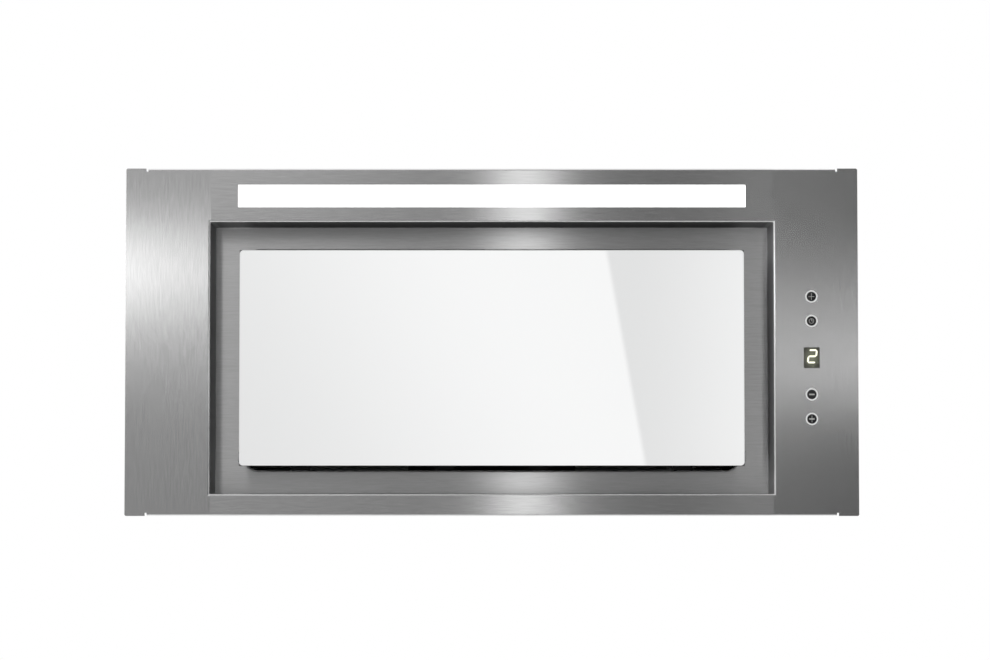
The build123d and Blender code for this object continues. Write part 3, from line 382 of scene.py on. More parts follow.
def make_brushed_steel(name, color, turned_at_ends, metallic=1.0):
    """Brushed stainless steel. On the panel the grain of both end columns runs across it."""
    material, tree, shader, position = new_material(
        name, color, GRAIN_ROUGHNESS, metallic, Anisotropic=1.0
    )
    parts = split_vector(tree, position)
    distance = math_node(tree, "ABSOLUTE", parts[0])
    ends = math_node(tree, "GREATER_THAN", distance, COLUMN_EDGE)
    ends = math_node(tree, "MULTIPLY", ends, 1.0 if turned_at_ends else 0.0)
    turned = swap_axes(tree, position, ends)
    fine = place_grain(tree, turned, *FINE_STREAKS[:2])
    coarse = place_grain(tree, turned, *COARSE_STREAKS[:2])
    streaks = math_node(tree, "MULTIPLY", fine["Streaks"], FINE_STREAKS[2])
    streaks = math_node(tree, "MULTIPLY_ADD", coarse["Streaks"], COARSE_STREAKS[2], streaks)
    facing = split_vector(tree, tree.nodes.new("ShaderNodeNewGeometry").outputs["Normal"])[2]
    level = math_node(tree, "ABSOLUTE", facing)
    wall = recess_wall_shade_mask(tree, parts, distance, level)
    # The folded rim gets a painted highlight: a lighter colour and a lower roughness
    rim = math_node(
        tree,
        "MULTIPLY",
        smooth_step(tree, level, *RIM_LEVEL_LOW),
        smooth_step(tree, level, *RIM_LEVEL_HIGH, 1.0, 0.0),
    )
    # Painted shade on the recess walls, and a painted highlight on the folded rim
    base = mix_colors(tree, wall, color, painted_recess_wall_shade(tree, parts, distance))
    base = mix_colors(tree, rim, base, PAINTED_RIM_HIGHLIGHT)
    shade = smooth_step(tree, streaks, *STREAK_RANGE, *STREAK_SHADE)
    tint = add_node(tree, "ShaderNodeCombineColor", {0: shade, 1: shade, 2: shade}).outputs[0]
    tree.links.new(mix_colors(tree, 1.0, base, tint, "MULTIPLY"), shader["Base Color"])
    rough = math_node(
        tree,
        "ADD",
        smooth_step(tree, streaks, *STREAK_RANGE, *STREAK_ROUGHNESS),
        smooth_step(tree, coarse["Clouds"], *CLOUD_RANGE, *CLOUD_ROUGHNESS),
    )
    rough = mix(tree, "FLOAT", rim, rough, RIM_ROUGHNESS)
    rough = mix(tree, "FLOAT", wall, rough, WALL_ROUGHNESS)
    tree.links.new(rough, shader["Roughness"])
    # The tangent points across the grain
    strips = math_node(tree, "SUBTRACT", 1.0, ends)
    tree.links.new(join_vector(tree, ends, strips), shader["Tangent"])
    set_bump(tree, shader, streaks, *STREAK_RELIEF)
    return material


# Zinc, drawn metal and moulded plastic
ZINC_DARK = (0.44, 0.455, 0.465)
ZINC_LIGHT = (0.55, 0.565, 0.575)
ZINC_ROUGHNESS = (0.38, 0.48)
ZINC_RELIEF = (0.08, 0.2 * MM)
DRAWN_LENGTH = 0.06
DRAWN_DARKER = 0.82
DRAWN_CLOUDS = (0.3, 0.75)
DRAWN_SMOOTHER = 0.05
DRAWN_ROUGHER = 0.1
DRAWN_RELIEF = (0.1, 0.1 * MM)
# Painted shade on the aluminium behind the filter mesh's rear edge, where the hooks sit in the gap
HOOK_PAINTED_SHADE = (0.03, 0.03, 0.03)
HOOK_SHADE_REACH = 2 * MM
MARK_LIGHTER = (1.12, 0.006)
MARK_ROUGHER = 0.12
SKIN_DEPTH = 0.1 * MM


def make_galvanised():
    """Galvanised sheet with fine spangle and a dull bloom."""
    material, tree, shader, position = new_material("galvanised_sheet", ZINC_LIGHT, 0.42, 0.85)
    spangle = place_group(tree, spangle_group, {"Position": position})
    shade = spangle["Shade"]
    tree.links.new(mix_colors(tree, shade, ZINC_DARK, ZINC_LIGHT), shader["Base Color"])
    tree.links.new(smooth_step(tree, shade, 0.0, 1.0, *ZINC_ROUGHNESS), shader["Roughness"])
    set_bump(tree, shader, spangle["Height"], *ZINC_RELIEF)
    return material


def make_plain_metal(name, color, roughness, streaks_per_metre, metallic=1.0):
    """Plated or bare metal with faint drawn lines."""
    material, tree, shader, position = new_material(name, color, roughness, metallic)
    grain = place_grain(tree, position, streaks_per_metre, DRAWN_LENGTH)
    darker = [DRAWN_DARKER * channel for channel in color]
    tree.links.new(mix_colors(tree, grain["Streaks"], darker, color), shader["Base Color"])
    dullness = smooth_step(
        tree, grain["Clouds"], *DRAWN_CLOUDS, roughness - DRAWN_SMOOTHER, roughness + DRAWN_ROUGHER
    )
    tree.links.new(dullness, shader["Roughness"])
    set_bump(tree, shader, grain["Streaks"], *DRAWN_RELIEF)
    return material


def make_filter_aluminium():
    """Satin aluminium, with painted shade on its rear hooks in the gap behind the glass."""
    material = make_plain_metal("satin_aluminium", (0.66, 0.67, 0.68), 0.38, 1200.0)
    tree = material.node_tree
    base = tree.nodes["Principled BSDF"].inputs["Base Color"]
    position = tree.nodes.new("ShaderNodeTexCoord").outputs["Object"]
    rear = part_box("filter_mesh_left")[1].y
    # Painted shade behind the mesh's rear edge
    gap_shade = smooth_step(tree, split_vector(tree, position)[1], rear, rear + HOOK_SHADE_REACH)
    bare = base.links[0].from_socket
    tree.links.new(mix_colors(tree, gap_shade, bare, HOOK_PAINTED_SHADE), base)
    return material


def make_plastic(name, color, roughness, grains_per_metre=1800.0, relief=0.12):
    """Moulded plastic with an eroded skin."""
    material, tree, shader, position = new_material(name, color, roughness)
    inputs = {"Position": position, "Grains per metre": grains_per_metre}
    skin = place_group(tree, mould_group, inputs)
    times, more = MARK_LIGHTER
    lighter = [min(1.0, channel * times + more) for channel in color]
    tree.links.new(mix_colors(tree, skin["Marks"], color, lighter), shader["Base Color"])
    dullness = smooth_step(tree, skin["Marks"], 0.0, 1.0, roughness, roughness + MARK_ROUGHER)
    tree.links.new(dullness, shader["Roughness"])
    set_bump(tree, shader, skin["Height"], relief, SKIN_DEPTH)
    return material


# Glass flap and light
GLASS_COLOR = (0.875, 0.88, 0.88)
GLASS_EDGE_COLOR = (0.62, 0.74, 0.70)
GLASS_EDGE = (0.3 * MM, 0.9 * MM)
GLASS_ROUGHNESS = 0.002
GLASS_IOR = 1.9
LIGHT_COLOR = (1.0, 1.0, 1.0)
LIGHT_COOLER = (0.985, 0.99, 1.0)
LIGHT_STRENGTH = 1.1


def make_white_glass():
    """Toughened pane with a white coat behind it, greener at its ground edge."""
    material, tree, shader, position = new_material(
        "white_glass", GLASS_COLOR, GLASS_ROUGHNESS, IOR=GLASS_IOR
    )
    edge = smooth_step(tree, split_vector(tree, position)[2], *GLASS_EDGE)
    tree.links.new(mix_colors(tree, edge, GLASS_COLOR, GLASS_EDGE_COLOR), shader["Base Color"])
    skin = place_group(tree, mould_group, {"Position": position})
    dullness = smooth_step(tree, skin["Marks"], 0.0, 1.0, 0.0, GLASS_ROUGHNESS)
    tree.links.new(dullness, shader["Roughness"])
    return material


def make_light():
    """Opal diffuser, evenly lit from behind."""
    material, tree, shader, position = new_material("opal_light", (0.95, 0.95, 0.95), 0.35)
    skin = place_group(tree, mould_group, {"Position": position})
    glow = mix_colors(tree, skin["Marks"], LIGHT_COLOR, LIGHT_COOLER)
    tree.links.new(glow, shader["Emission Color"])
    shader["Emission Strength"].default_value = LIGHT_STRENGTH
    return material


# Circuit board and display
BOARD_COLOR = (0.02, 0.16, 0.06)
TRACK_COLOR = (0.015, 0.12, 0.05)
FIELD_COLOR = (0.025, 0.20, 0.075)
TRACK_SCALE = 260.0
TRACK_RANGE = (0.28, 0.34)
TRACK_RELIEF = (0.2, 0.1 * MM)
WINDOW_COLOR = (0.03, 0.03, 0.025)
WINDOW_DARK = (0.018, 0.018, 0.013)
WINDOW_LIT = (0.13, 0.14, 0.095)
HALO_PER_METRE = (130.0, 95.0, 0.0)
HALO_RANGE = (0.3, 1.15)
HAZE_SCALE = 700.0
HAZE_SHARE = 0.3
GLOW_SCALE = 1500.0
GLOW_RANGE = (0.35, 0.65)


def make_circuit_board():
    """Solder-masked board with faint copper areas."""
    material, tree, shader, position = new_material("circuit_board", BOARD_COLOR, 0.35)
    inputs = {"Vector": position, "Scale": TRACK_SCALE}
    cells = add_node(tree, "ShaderNodeTexVoronoi", inputs, distance="MANHATTAN").outputs
    tracks = smooth_step(tree, cells["Distance"], *TRACK_RANGE)
    tree.links.new(mix_colors(tree, tracks, FIELD_COLOR, TRACK_COLOR), shader["Base Color"])
    set_bump(tree, shader, tracks, *TRACK_RELIEF)
    return material


def make_window():
    """Smoked display window, lit softly round the digit."""
    material, tree, shader, position = new_material("smoked_window", WINDOW_COLOR, 0.12)
    centre = middle_of("display_window")
    offset = vector_math(tree, "SUBTRACT", position, (centre.x, centre.y, 0))
    distance = vector_math(tree, "LENGTH", vector_math(tree, "MULTIPLY", offset, HALO_PER_METRE))
    haze = noise(tree, position, HAZE_SCALE)
    distance = math_node(tree, "MULTIPLY_ADD", haze, HAZE_SHARE, distance)
    halo = smooth_step(tree, distance, *HALO_RANGE, 1.0, 0.0)
    tree.links.new(mix_colors(tree, halo, WINDOW_DARK, WINDOW_LIT), shader["Emission Color"])
    shader["Emission Strength"].default_value = 1.0
    return material


def make_glow(name, bright, dim):
    """Part of the display that glows by itself, slightly uneven."""
    material, tree, shader, position = new_material(name, dim, 0.4)
    haze = smooth_step(tree, noise(tree, position, GLOW_SCALE), *GLOW_RANGE)
    tree.links.new(mix_colors(tree, haze, dim, bright), shader["Emission Color"])
    shader["Emission Strength"].default_value = 1.0
    return material


# Every finish: colour, roughness, then streaks or grains per metre and the skin's relief
finishes = {
    "brushed_panel": make_brushed_steel("brushed_panel", PANEL_COLOR, True),
    # The deck's lighter colour is painted light
    "brushed_deck": make_brushed_steel("brushed_deck", DECK_PAINTED_LIGHT_COLOR, False, DECK_METALLIC),
    "galvanised": make_galvanised(),
    "zinc_steel": make_plain_metal("zinc_plated", (0.58, 0.59, 0.60), 0.36, 700.0),
    "flap_glass": make_white_glass(),
    "aluminium": make_filter_aluminium(),
    "chrome_trim": make_plain_metal("bright_chrome", (0.95, 0.95, 0.95), 0.2, 500.0),
    "black_gloss": make_plastic("black_gloss", (0.012, 0.012, 0.013), 0.22, 900.0, 0.03),
    "window": make_window(),
    "black_moulding": make_plastic("black_moulding", (0.022, 0.022, 0.024), 0.5),
    "grey_moulding": make_plastic("grey_moulding", (0.22, 0.225, 0.23), 0.5),
    "white_moulding": make_plastic("white_moulding", (0.78, 0.78, 0.77), 0.45),
    "light_white": make_light(),
    "circuit_board": make_circuit_board(),
    "ferrite": make_plastic("ferrite", (0.045, 0.045, 0.047), 0.6, 1200.0, 0.3),
    "rubber": make_plastic("rubber", (0.018, 0.018, 0.018), 0.7),
    "motor_coat": make_plastic("motor_coat", (0.05, 0.05, 0.055), 0.35),
    "ring_bead": make_plain_metal("satin_ring", (0.98, 0.98, 0.98), 0.3, 900.0, metallic=0.25),
    "digit_glow": make_glow("digit_glow", (0.95, 0.94, 0.80), (0.72, 0.72, 0.56)),
    "digit_dark": make_glow("digit_dark", (0.075, 0.08, 0.055), (0.05, 0.052, 0.036)),
    "sign_print": make_plastic("sign_print", (0.36, 0.36, 0.35), 0.6, 2500.0, 0.05),
}

slot_of = {row["node"]: row["material_slot"] for row in frame["record"]["subparts"]}
own_finish = {"filter_deck": "brushed_deck", "display_window": "window"}
for name, node in nodes.items():
    node.data.materials.clear()
    node.data.materials.append(finishes[own_finish.get(name, slot_of[name])])


# Helpers for the pieces that are made with the looks


def place_piece(name, mesh, body):
    """Link a mesh as an object that rides on a body."""
    piece = link_object(name, mesh)
    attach(piece, body)
    return piece


def mesh_piece(name, bm, finish, body):
    """Turn a bmesh into an object in the frame that rides on a body."""
    bmesh.ops.recalc_face_normals(bm, faces=bm.faces)
    mesh = bpy.data.meshes.new(name)
    bm.to_mesh(mesh)
    bm.free()
    mesh.materials.append(finishes[finish])
    return place_piece(name, mesh, body)


def add_plate(bm, outline, low, high):
    """A flat plate between two heights with a given outline in X and Y."""
    rings = [[bm.verts.new((x, y, z)) for x, y in outline] for z in (low, high)]
    bm.faces.new(rings[0])
    bm.faces.new(rings[1])
    for index, vertex in enumerate(rings[0]):
        follower = (index + 1) % len(outline)
        bm.faces.new((vertex, rings[0][follower], rings[1][follower], rings[1][index]))


def rectangle(left, right, front, rear):
    """Four corners of a rectangle."""
    return [(left, front), (right, front), (right, rear), (left, rear)]


def bar(x, y, half_x, half_y):
    """Four corners of a bar round its middle."""
    return rectangle(x - half_x, x + half_x, y - half_y, y + half_y)


def revolve(profile, place, steps):
    """A closed turned shape: (radius, height) pairs turned round an upright axis at a place."""
    bm = bmesh.new()
    place = Vector(place)
    turns = [2 * math.pi * step / steps for step in range(steps)]
    rings = []
    for radius, height in profile:
        ways = [(math.cos(turn), math.sin(turn)) for turn in turns] if radius else [(0, 0)]
        corners = [place + Vector((radius * u, radius * v, height)) for u, v in ways]
        rings.append([bm.verts.new(corner) for corner in corners])
    for lower, upper in zip(rings, rings[1:]):
        for step in range(steps):
            follower = (step + 1) % steps
            corners = [lower[step % len(lower)], lower[follower % len(lower)]]
            corners += [upper[follower % len(upper)], upper[step % len(upper)]]
            bm.faces.new(list(dict.fromkeys(corners)))
    return bm


# Helpers for Geometry Nodes


def geometry_tree(name, inputs):
    """A tree with a mesh and named sizes as inputs: its sockets by name, and its output."""
    tree = bpy.data.node_groups.new(name, "GeometryNodeTree")
    tree.interface.new_socket("Geometry", in_out="INPUT", socket_type="NodeSocketGeometry")
    for label, size in inputs.items():
        socket = tree.interface.new_socket(label, in_out="INPUT", socket_type=FLOAT)
        socket.default_value = size
    tree.interface.new_socket("Geometry", in_out="OUTPUT", socket_type="NodeSocketGeometry")
    entry = tree.nodes.new("NodeGroupInput").outputs
    return tree, entry, tree.nodes.new("NodeGroupOutput").inputs[0]


def sweep(tree, path, profile):
    """A closed profile drawn along a closed path."""
    inputs = {"Curve": path, "Profile Curve": profile}
    return add_node(tree, "GeometryNodeCurveToMesh", inputs).outputs[0]


def repeat_on_points(tree, points, shape, finish, end, **more):
    """Put a shape on every point, make it real in its material, and put it out."""
    inputs = {"Points": points, "Instance": shape, **more}
    placed = add_node(tree, "GeometryNodeInstanceOnPoints", inputs).outputs[0]
    real = add_node(tree, "GeometryNodeRealizeInstances", {0: placed}).outputs[0]
    inputs = {"Geometry": real, "Material": finishes[finish]}
    tree.links.new(add_node(tree, "GeometryNodeSetMaterial", inputs).outputs[0], end)


def grow(name, places, tree, sizes, body, outward=None):
    """Run a tree on a set of points and keep the plain mesh that it makes."""
    points = bpy.data.meshes.new(f"{name}_points")
    points.from_pydata([tuple(place) for place in places], [], [])
    if outward is not None:
        directions = points.attributes.new("outward", "FLOAT_VECTOR", "POINT")
        for index, direction in enumerate(outward):
            directions.data[index].vector = direction
    carrier = link_object(f"{name}_carrier", points)
    modifier = carrier.modifiers.new(name, "NODES")
    modifier.node_group = tree
    for item in tree.interface.items_tree:
        if item.in_out == "INPUT" and item.name in sizes:
            modifier[item.identifier] = sizes[item.name]
    graph = bpy.context.evaluated_depsgraph_get()
    mesh = bpy.data.meshes.new_from_object(carrier.evaluated_get(graph), depsgraph=graph)
    mesh.name = name
    carrier.modifiers.remove(modifier)
    bpy.data.objects.remove(carrier)
    return place_piece(name, mesh, body)


# Button rings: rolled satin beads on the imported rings
BEAD_PROUD = 0.35 * MM
BEAD_SIZES = {"Ring radius": 4.5 * MM, "Bead radius": 0.64 * MM}
RING_STEPS = 64
BEAD_STEPS = 16


def make_bead_tree():
    """A round bead on every point."""
    tree, entry, end = geometry_tree("ring_beads", BEAD_SIZES)
    circles = []
    for label, steps in (("Ring radius", RING_STEPS), ("Bead radius", BEAD_STEPS)):
        inputs = {"Resolution": steps, "Radius": entry[label]}
        circles.append(add_node(tree, "GeometryNodeCurvePrimitiveCircle", inputs).outputs[0])
    bead = sweep(tree, *circles)
    repeat_on_points(tree, entry["Geometry"], bead, "ring_bead", end)
    return tree


def make_ring_beads():
    """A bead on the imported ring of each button, a little proud of the panel."""
    height = BEAD_SIZES["Bead radius"] - BEAD_PROUD
    middles = [middle_of(f"button_{word}") for word in BUTTONS]
    places = [(middle.x, middle.y, height) for middle in middles]
    grow("ring_beads", places, make_bead_tree(), BEAD_SIZES, "hood")


make_ring_beads()

# Expanded mesh of the grease filters
CELL_LONG = 8.0 * MM
CELL_SHORT = 4.4 * MM
STRAND_WIDTH = 0.75 * MM
STRAND_DEPTH = 0.5 * MM
LAYERS = 3
BLOCK_MARGIN = 5.5 * MM


def mesh_sizes(length, width):
    """The named sizes of a mesh with cells of a given length and width."""
    return {
        "Cell length": length,
        "Cell width": width,
        "Strand width": STRAND_WIDTH,
        "Strand depth": STRAND_DEPTH,
    }


def make_mesh_tree():
    """A diamond of flat strand on every point."""
    tree, entry, end = geometry_tree("expanded_mesh", mesh_sizes(CELL_LONG, CELL_SHORT))
    half = math_node(tree, "MULTIPLY", entry["Cell width"], 0.5)
    diamond = add_node(
        tree,
        "GeometryNodeCurvePrimitiveQuadrilateral",
        {"Width": entry["Cell length"], "Bottom Height": half, "Top Height": half},
        mode="KITE",
    )
    strand = add_node(
        tree,
        "GeometryNodeCurvePrimitiveQuadrilateral",
        {"Width": entry["Strand depth"], "Height": entry["Strand width"]},
    )
    ring = sweep(tree, diamond.outputs[0], strand.outputs[0])
    repeat_on_points(tree, entry["Geometry"], ring, "aluminium", end)
    return tree


def mesh_places(side):
    """Middles of the diamonds in every layer of one filter, and the fitted cell."""
    low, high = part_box(f"filter_mesh_{side}")
    latch = middle_of(f"filter_latch_{side}")
    block_half = (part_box(f"filter_latch_{side}")[1].x - latch.x) + BLOCK_MARGIN
    block_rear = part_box(f"latch_spring_{side}")[1].y + BLOCK_MARGIN
    counts = round((high.x - low.x) / CELL_LONG), round((high.y - low.y) / CELL_SHORT)
    cell = (high.x - low.x) / counts[0], (high.y - low.y) / counts[1]
    places = []
    for layer in range(LAYERS):
        shift = layer % 2
        z = low.z + (layer + 0.5) * (high.z - low.z) / LAYERS
        for column in range(counts[0] - shift):
            for row in range(counts[1] - shift):
                x = low.x + (column + (1 + shift) / 2) * cell[0]
                y = low.y + (row + (1 + shift) / 2) * cell[1]
                if abs(x - latch.x) > block_half or y > block_rear:
                    places.append((x, y, z))
    return places, cell


mesh_tree = make_mesh_tree()
for side in SIDES:
    places, cell = mesh_places(side)
    expanded = grow(
        f"expanded_mesh_{side}", places, mesh_tree, mesh_sizes(*cell), "hood"
    )
    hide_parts(f"filter_mesh_{side}")

# Blind rivets: a domed head with the broken pin sunk in it, as shares of its radius and height
RIVET_SIZES = {"Radius": 3.3 * MM, "Height": 1.1 * MM}
RIVET_STEPS = 16
RIVET_PROFILE = (
    (0.0, 0.45),
    (0.3, 0.4),
    (0.36, 0.95),
    (0.55, 1.0),
    (0.8, 0.75),
    (1.0, 0.25),
    (1.0, -0.1),
    (0.0, -0.1),
)
SEAM_INSET = 8 * MM
SEAM_MARGIN = 26 * MM
SEAM_RIVETS = 5


def make_rivet_tree():
    """A rivet head on every point, turned to the point's outward side."""
    tree, entry, end = geometry_tree("rivet_heads", RIVET_SIZES)
    mesh = bpy.data.meshes.new("rivet_head")
    shape = revolve(RIVET_PROFILE, (0, 0, 0), RIVET_STEPS)
    bmesh.ops.recalc_face_normals(shape, faces=shape.faces)
    shape.to_mesh(mesh)
    shape.free()
    head = bpy.data.objects.new("rivet_head", mesh)
    source = add_node(tree, "GeometryNodeObjectInfo", {"Object": head}).outputs["Geometry"]
    size = join_vector(tree, entry["Radius"], entry["Radius"], entry["Height"])
    outward = add_node(
        tree, "GeometryNodeInputNamedAttribute", {"Name": "outward"}, data_type="FLOAT_VECTOR"
    ).outputs[0]
    turned = add_node(
        tree, "FunctionNodeAlignRotationToVector", {"Vector": outward}, axis="Z"
    ).outputs[0]
    repeat_on_points(
        tree, entry["Geometry"], source, "zinc_steel", end, Rotation=turned, Scale=size
    )
    return tree, head


def rivet_row(start, end, outward):
    """Rivets spaced evenly between two points, each with its outward side."""
    start, end = Vector(start), Vector(end)
    return [(start.lerp(end, index / (SEAM_RIVETS - 1)), outward) for index in range(SEAM_RIVETS)]


def housing_rivets():
    """Rivets through the folded sheet into the flanges of both side plates."""
    low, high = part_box("side_plate_right")
    front, rear, top = low.y - MM, high.y + MM, high.z + MM
    rivets = []
    for side in (-1, 1):
        x = side * (high.x - SEAM_INSET)
        for y, outward in ((front, (0, -1, 0)), (rear, (0, 1, 0))):
            rivets += rivet_row((x, y, low.z + SEAM_MARGIN), (x, y, top - SEAM_MARGIN), outward)
        rivets += rivet_row((x, front + SEAM_MARGIN, top), (x, rear - SEAM_MARGIN, top), (0, 0, 1))
    return rivets


rivet_tree, rivet_head = make_rivet_tree()
places, directions = zip(*housing_rivets())
grow("housing_rivets", places, rivet_tree, RIVET_SIZES, "hood", directions)
bpy.data.objects.remove(rivet_head)


# Leaf springs of the filter latches, as pieces of their own


def make_latch_leaf(side):
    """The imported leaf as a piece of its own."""
    spring = f"latch_spring_{side}"
    leaf = bmesh.new()
    leaf.from_mesh(nodes[spring].data)
    bmesh.ops.remove_doubles(leaf, verts=leaf.verts, dist=MERGE_REACH)
    piece = mesh_piece(f"latch_leaf_{side}", leaf, "zinc_steel", "hood")
    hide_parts(spring)
    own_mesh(piece)


for side in SIDES:
    make_latch_leaf(side)

# Rubber bung in the mains gland, where no cord is shown
BUNG_STEPS = 32
BUNG_RADIUS = 3.9 * MM
BUNG_HEAD = 4.6 * MM
BUNG_START = 3 * MM
# Radius of the domed head and its height above the gland
BUNG_DOME = (
    (BUNG_HEAD, 0.2 * MM),
    (BUNG_HEAD, 0.7 * MM),
    (0.7 * BUNG_HEAD, 1.5 * MM),
    (0, 1.8 * MM),
)


def make_gland_bung():
    """A stem that fills the gland's bore, under a domed head."""
    low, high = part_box("cable_gland")
    middle = middle_of("cable_gland")
    start = low.z + BUNG_START
    profile = [(0, start), (BUNG_RADIUS, start), (BUNG_RADIUS, high.z + BUNG_DOME[0][1])]
    profile += [(radius, high.z + height) for radius, height in BUNG_DOME]
    bung = revolve(profile, (middle.x, middle.y, 0), BUNG_STEPS)
    mesh_piece("gland_bung", bung, "rubber", "hood")


make_gland_bung()

# Display: a slanted seven-segment digit that shows 2, on a grid one wide and two high
DIGIT_WIDTH = 7.6 * MM
DIGIT_HEIGHT = 11.4 * MM
DIGIT_SLANT = 0.12
DIGIT_SHIFT = (0.5 * MM, -1.1 * MM)
SEGMENT_HALF = 0.68 * MM
SEGMENT_SPACE = 0.12 * MM
POINT_HALF = 0.6 * MM
MARK_SHIFT = (1.0 * MM, 7.2 * MM)
MARK_HALF = 0.9 * MM
LENS_DEPTH = 0.05 * MM
SEGMENTS = {
    "a": ((0, 2), (1, 2)),
    "b": ((1, 2), (1, 1)),
    "c": ((1, 1), (1, 0)),
    "d": ((0, 0), (1, 0)),
    "e": ((0, 1), (0, 0)),
    "f": ((0, 2), (0, 1)),
    "g": ((0, 1), (1, 1)),
}
LIT_SEGMENTS = "abged"


def segment_outline(start, end):
    """Six corners of a bar between two places of the digit's grid, before the slant."""
    across = DIGIT_WIDTH - 2 * SEGMENT_HALF
    down = DIGIT_HEIGHT / 2 - SEGMENT_HALF
    ends = [Vector(((u - 0.5) * across, (1 - v) * down)) for u, v in (start, end)]
    way = (ends[1] - ends[0]).normalized()
    side = Vector((-way.y, way.x)) * SEGMENT_HALF
    ends = [ends[0] + way * SEGMENT_SPACE, ends[1] - way * SEGMENT_SPACE]
    shoulder = way * SEGMENT_HALF
    return [
        ends[0],
        ends[0] + shoulder + side,
        ends[1] - shoulder + side,
        ends[1],
        ends[1] - shoulder - side,
        ends[0] + shoulder - side,
    ]


def make_digit():
    """Lit and unlit segments, the decimal point and the mark under the digit."""
    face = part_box("display_window")[0].z
    middle = middle_of("display_window")
    centre = Vector((middle.x + DIGIT_SHIFT[0], middle.y + DIGIT_SHIFT[1]))
    lit = bmesh.new()
    unlit = bmesh.new()
    for name, (start, end) in SEGMENTS.items():
        outline = [
            (centre.x + corner.x - DIGIT_SLANT * corner.y, centre.y + corner.y)
            for corner in segment_outline(start, end)
        ]
        add_plate(lit if name in LIT_SEGMENTS else unlit, outline, face - LENS_DEPTH, face)
    point_x = centre.x + DIGIT_WIDTH / 2 + SEGMENT_HALF
    point_y = centre.y + DIGIT_HEIGHT / 2 - SEGMENT_HALF
    mark_x, mark_y = middle.x + MARK_SHIFT[0], middle.y + MARK_SHIFT[1]
    for x, y, half in ((point_x, point_y, POINT_HALF), (mark_x, mark_y, MARK_HALF)):
        add_plate(unlit, bar(x, y, half, half), face - LENS_DEPTH, face)
    mesh_piece("display_digit", lit, "digit_glow", "hood")
    mesh_piece("display_unlit", unlit, "digit_dark", "hood")


make_digit()

# Signs printed on the buttons: a cross, a dial, a minus and a plus
PRINT_DEPTH = 0.03 * MM
THIN = 0.2 * MM
BOLD = 0.6 * MM
SIGN_HALF = 2.2 * MM
DIAL_RADIUS = 1.9 * MM
DIAL_STEPS = 24


def dial_outlines(x, y):
    """A thin circle of short plates with two hands."""
    outlines = [
        bar(x, y - DIAL_RADIUS / 2, THIN, DIAL_RADIUS / 2),
        bar(x + DIAL_RADIUS / 3, y, DIAL_RADIUS / 3, THIN),
    ]
    turns = [2 * math.pi * step / DIAL_STEPS for step in range(DIAL_STEPS + 1)]
    inner, outer = DIAL_RADIUS - THIN, DIAL_RADIUS + THIN
    for first, second in zip(turns, turns[1:]):
        corners = ((inner, first), (outer, first), (outer, second), (inner, second))
        outlines.append(
            [(x + radius * math.cos(turn), y + radius * math.sin(turn)) for radius, turn in corners]
        )
    return outlines


def sign_outlines(word, x, y):
    """Outlines of the sign on one button."""
    half = SIGN_HALF / 2
    if word == "power":
        return [
            bar(x, y, THIN, SIGN_HALF + 3 * THIN),
            bar(x - half - THIN, y, half, THIN),
            bar(x + half + THIN, y, half, THIN),
        ]
    if word == "timer":
        return dial_outlines(x, y)
    minus = [bar(x, y, SIGN_HALF, BOLD)]
    if word == "less":
        return minus
    return minus + [bar(x, y + way * (BOLD + half), THIN, half) for way in (-1, 1)]


def make_sign(word):
    """The sign on one button, which moves with it."""
    button = middle_of(f"button_{word}")
    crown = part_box(f"button_{word}")[0].z
    sign = bmesh.new()
    for outline in sign_outlines(word, button.x, button.y):
        add_plate(sign, outline, crown - PRINT_DEPTH, crown)
    bmesh.ops.remove_doubles(sign, verts=sign.verts, dist=MERGE_REACH)
    mesh_piece(f"sign_{word}", sign, "sign_print", f"button_{word}_body")


for word in BUTTONS:
    make_sign(word)

# Black bonding tape between the glass and its pan, a hair wider than both
TAPE_WIDTH = 8 * MM
TAPE_DEPTH = 0.06 * MM
TAPE_PROUD = 0.35 * MM


def make_bonding_tape():
    """Four strips of tape round the front face of the pan."""
    low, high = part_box("glass_carrier")
    tape = bmesh.new()
    left, right = low.x - TAPE_PROUD, high.x + TAPE_PROUD
    front, rear = low.y - TAPE_PROUD, high.y + TAPE_PROUD
    for edges in (
        (left, right, front, front + TAPE_WIDTH),
        (left, right, rear - TAPE_WIDTH, rear),
        (left, left + TAPE_WIDTH, front + TAPE_WIDTH, rear - TAPE_WIDTH),
        (right - TAPE_WIDTH, right, front + TAPE_WIDTH, rear - TAPE_WIDTH),
    ):
        add_plate(tape, rectangle(*edges), low.z - TAPE_DEPTH, low.z)
    mesh_piece("bonding_tape", tape, "rubber", "flap")


make_bonding_tape()

# Studio: a pale floor with reflection cards for reflected rays alone, a white world, two lamps
FLOOR_Z = -2.4
FLOOR_HALF = 7.0
CARD_INPUTS = (
    "Centre X",
    "Centre Y",
    "Half X",
    "Half Y",
    "Soft X",
    "Soft Y",
    "Skew",
    "Strength",
)
# Values in the order of CARD_INPUTS. These cards show in the brushed steel, which scatters them
STEEL_CARDS = {
    "front_band": (0.06, -0.82, 0.045, 0.40, 0.03, 0.06, 0.0, 1.75),
    "middle_band": (0.06, -0.13, 0.045, 0.25, 0.03, 0.06, 0.0, 2.0),
    "rear_band": (0.06, 0.64, 0.045, 0.42, 0.03, 0.10, 0.0, 1.55),
    "front_left": (-0.55, -0.80, 0.40, 0.28, 0.3, 0.2, 0.0, 0.8),
    "left": (-1.30, -0.287, 0.45, 0.07, 0.3, 0.07, 0.0, 5.4),
    "left_rear": (-1.30, -0.15, 0.45, 0.06, 0.3, 0.08, 0.0, 1.15),
    "right": (1.30, -0.095, 0.45, 0.05, 0.3, 0.05, 0.0, 1.75),
    "right_front": (1.30, -0.20, 0.45, 0.07, 0.3, 0.08, 0.0, 0.85),
    "deck_right": (0.50, -0.12, 0.07, 0.11, 0.09, 0.08, 0.0, 1.1),
    "right_shade": (1.15, -0.12, 0.50, 2.0, 0.12, 0.3, 0.0, -0.13),
}
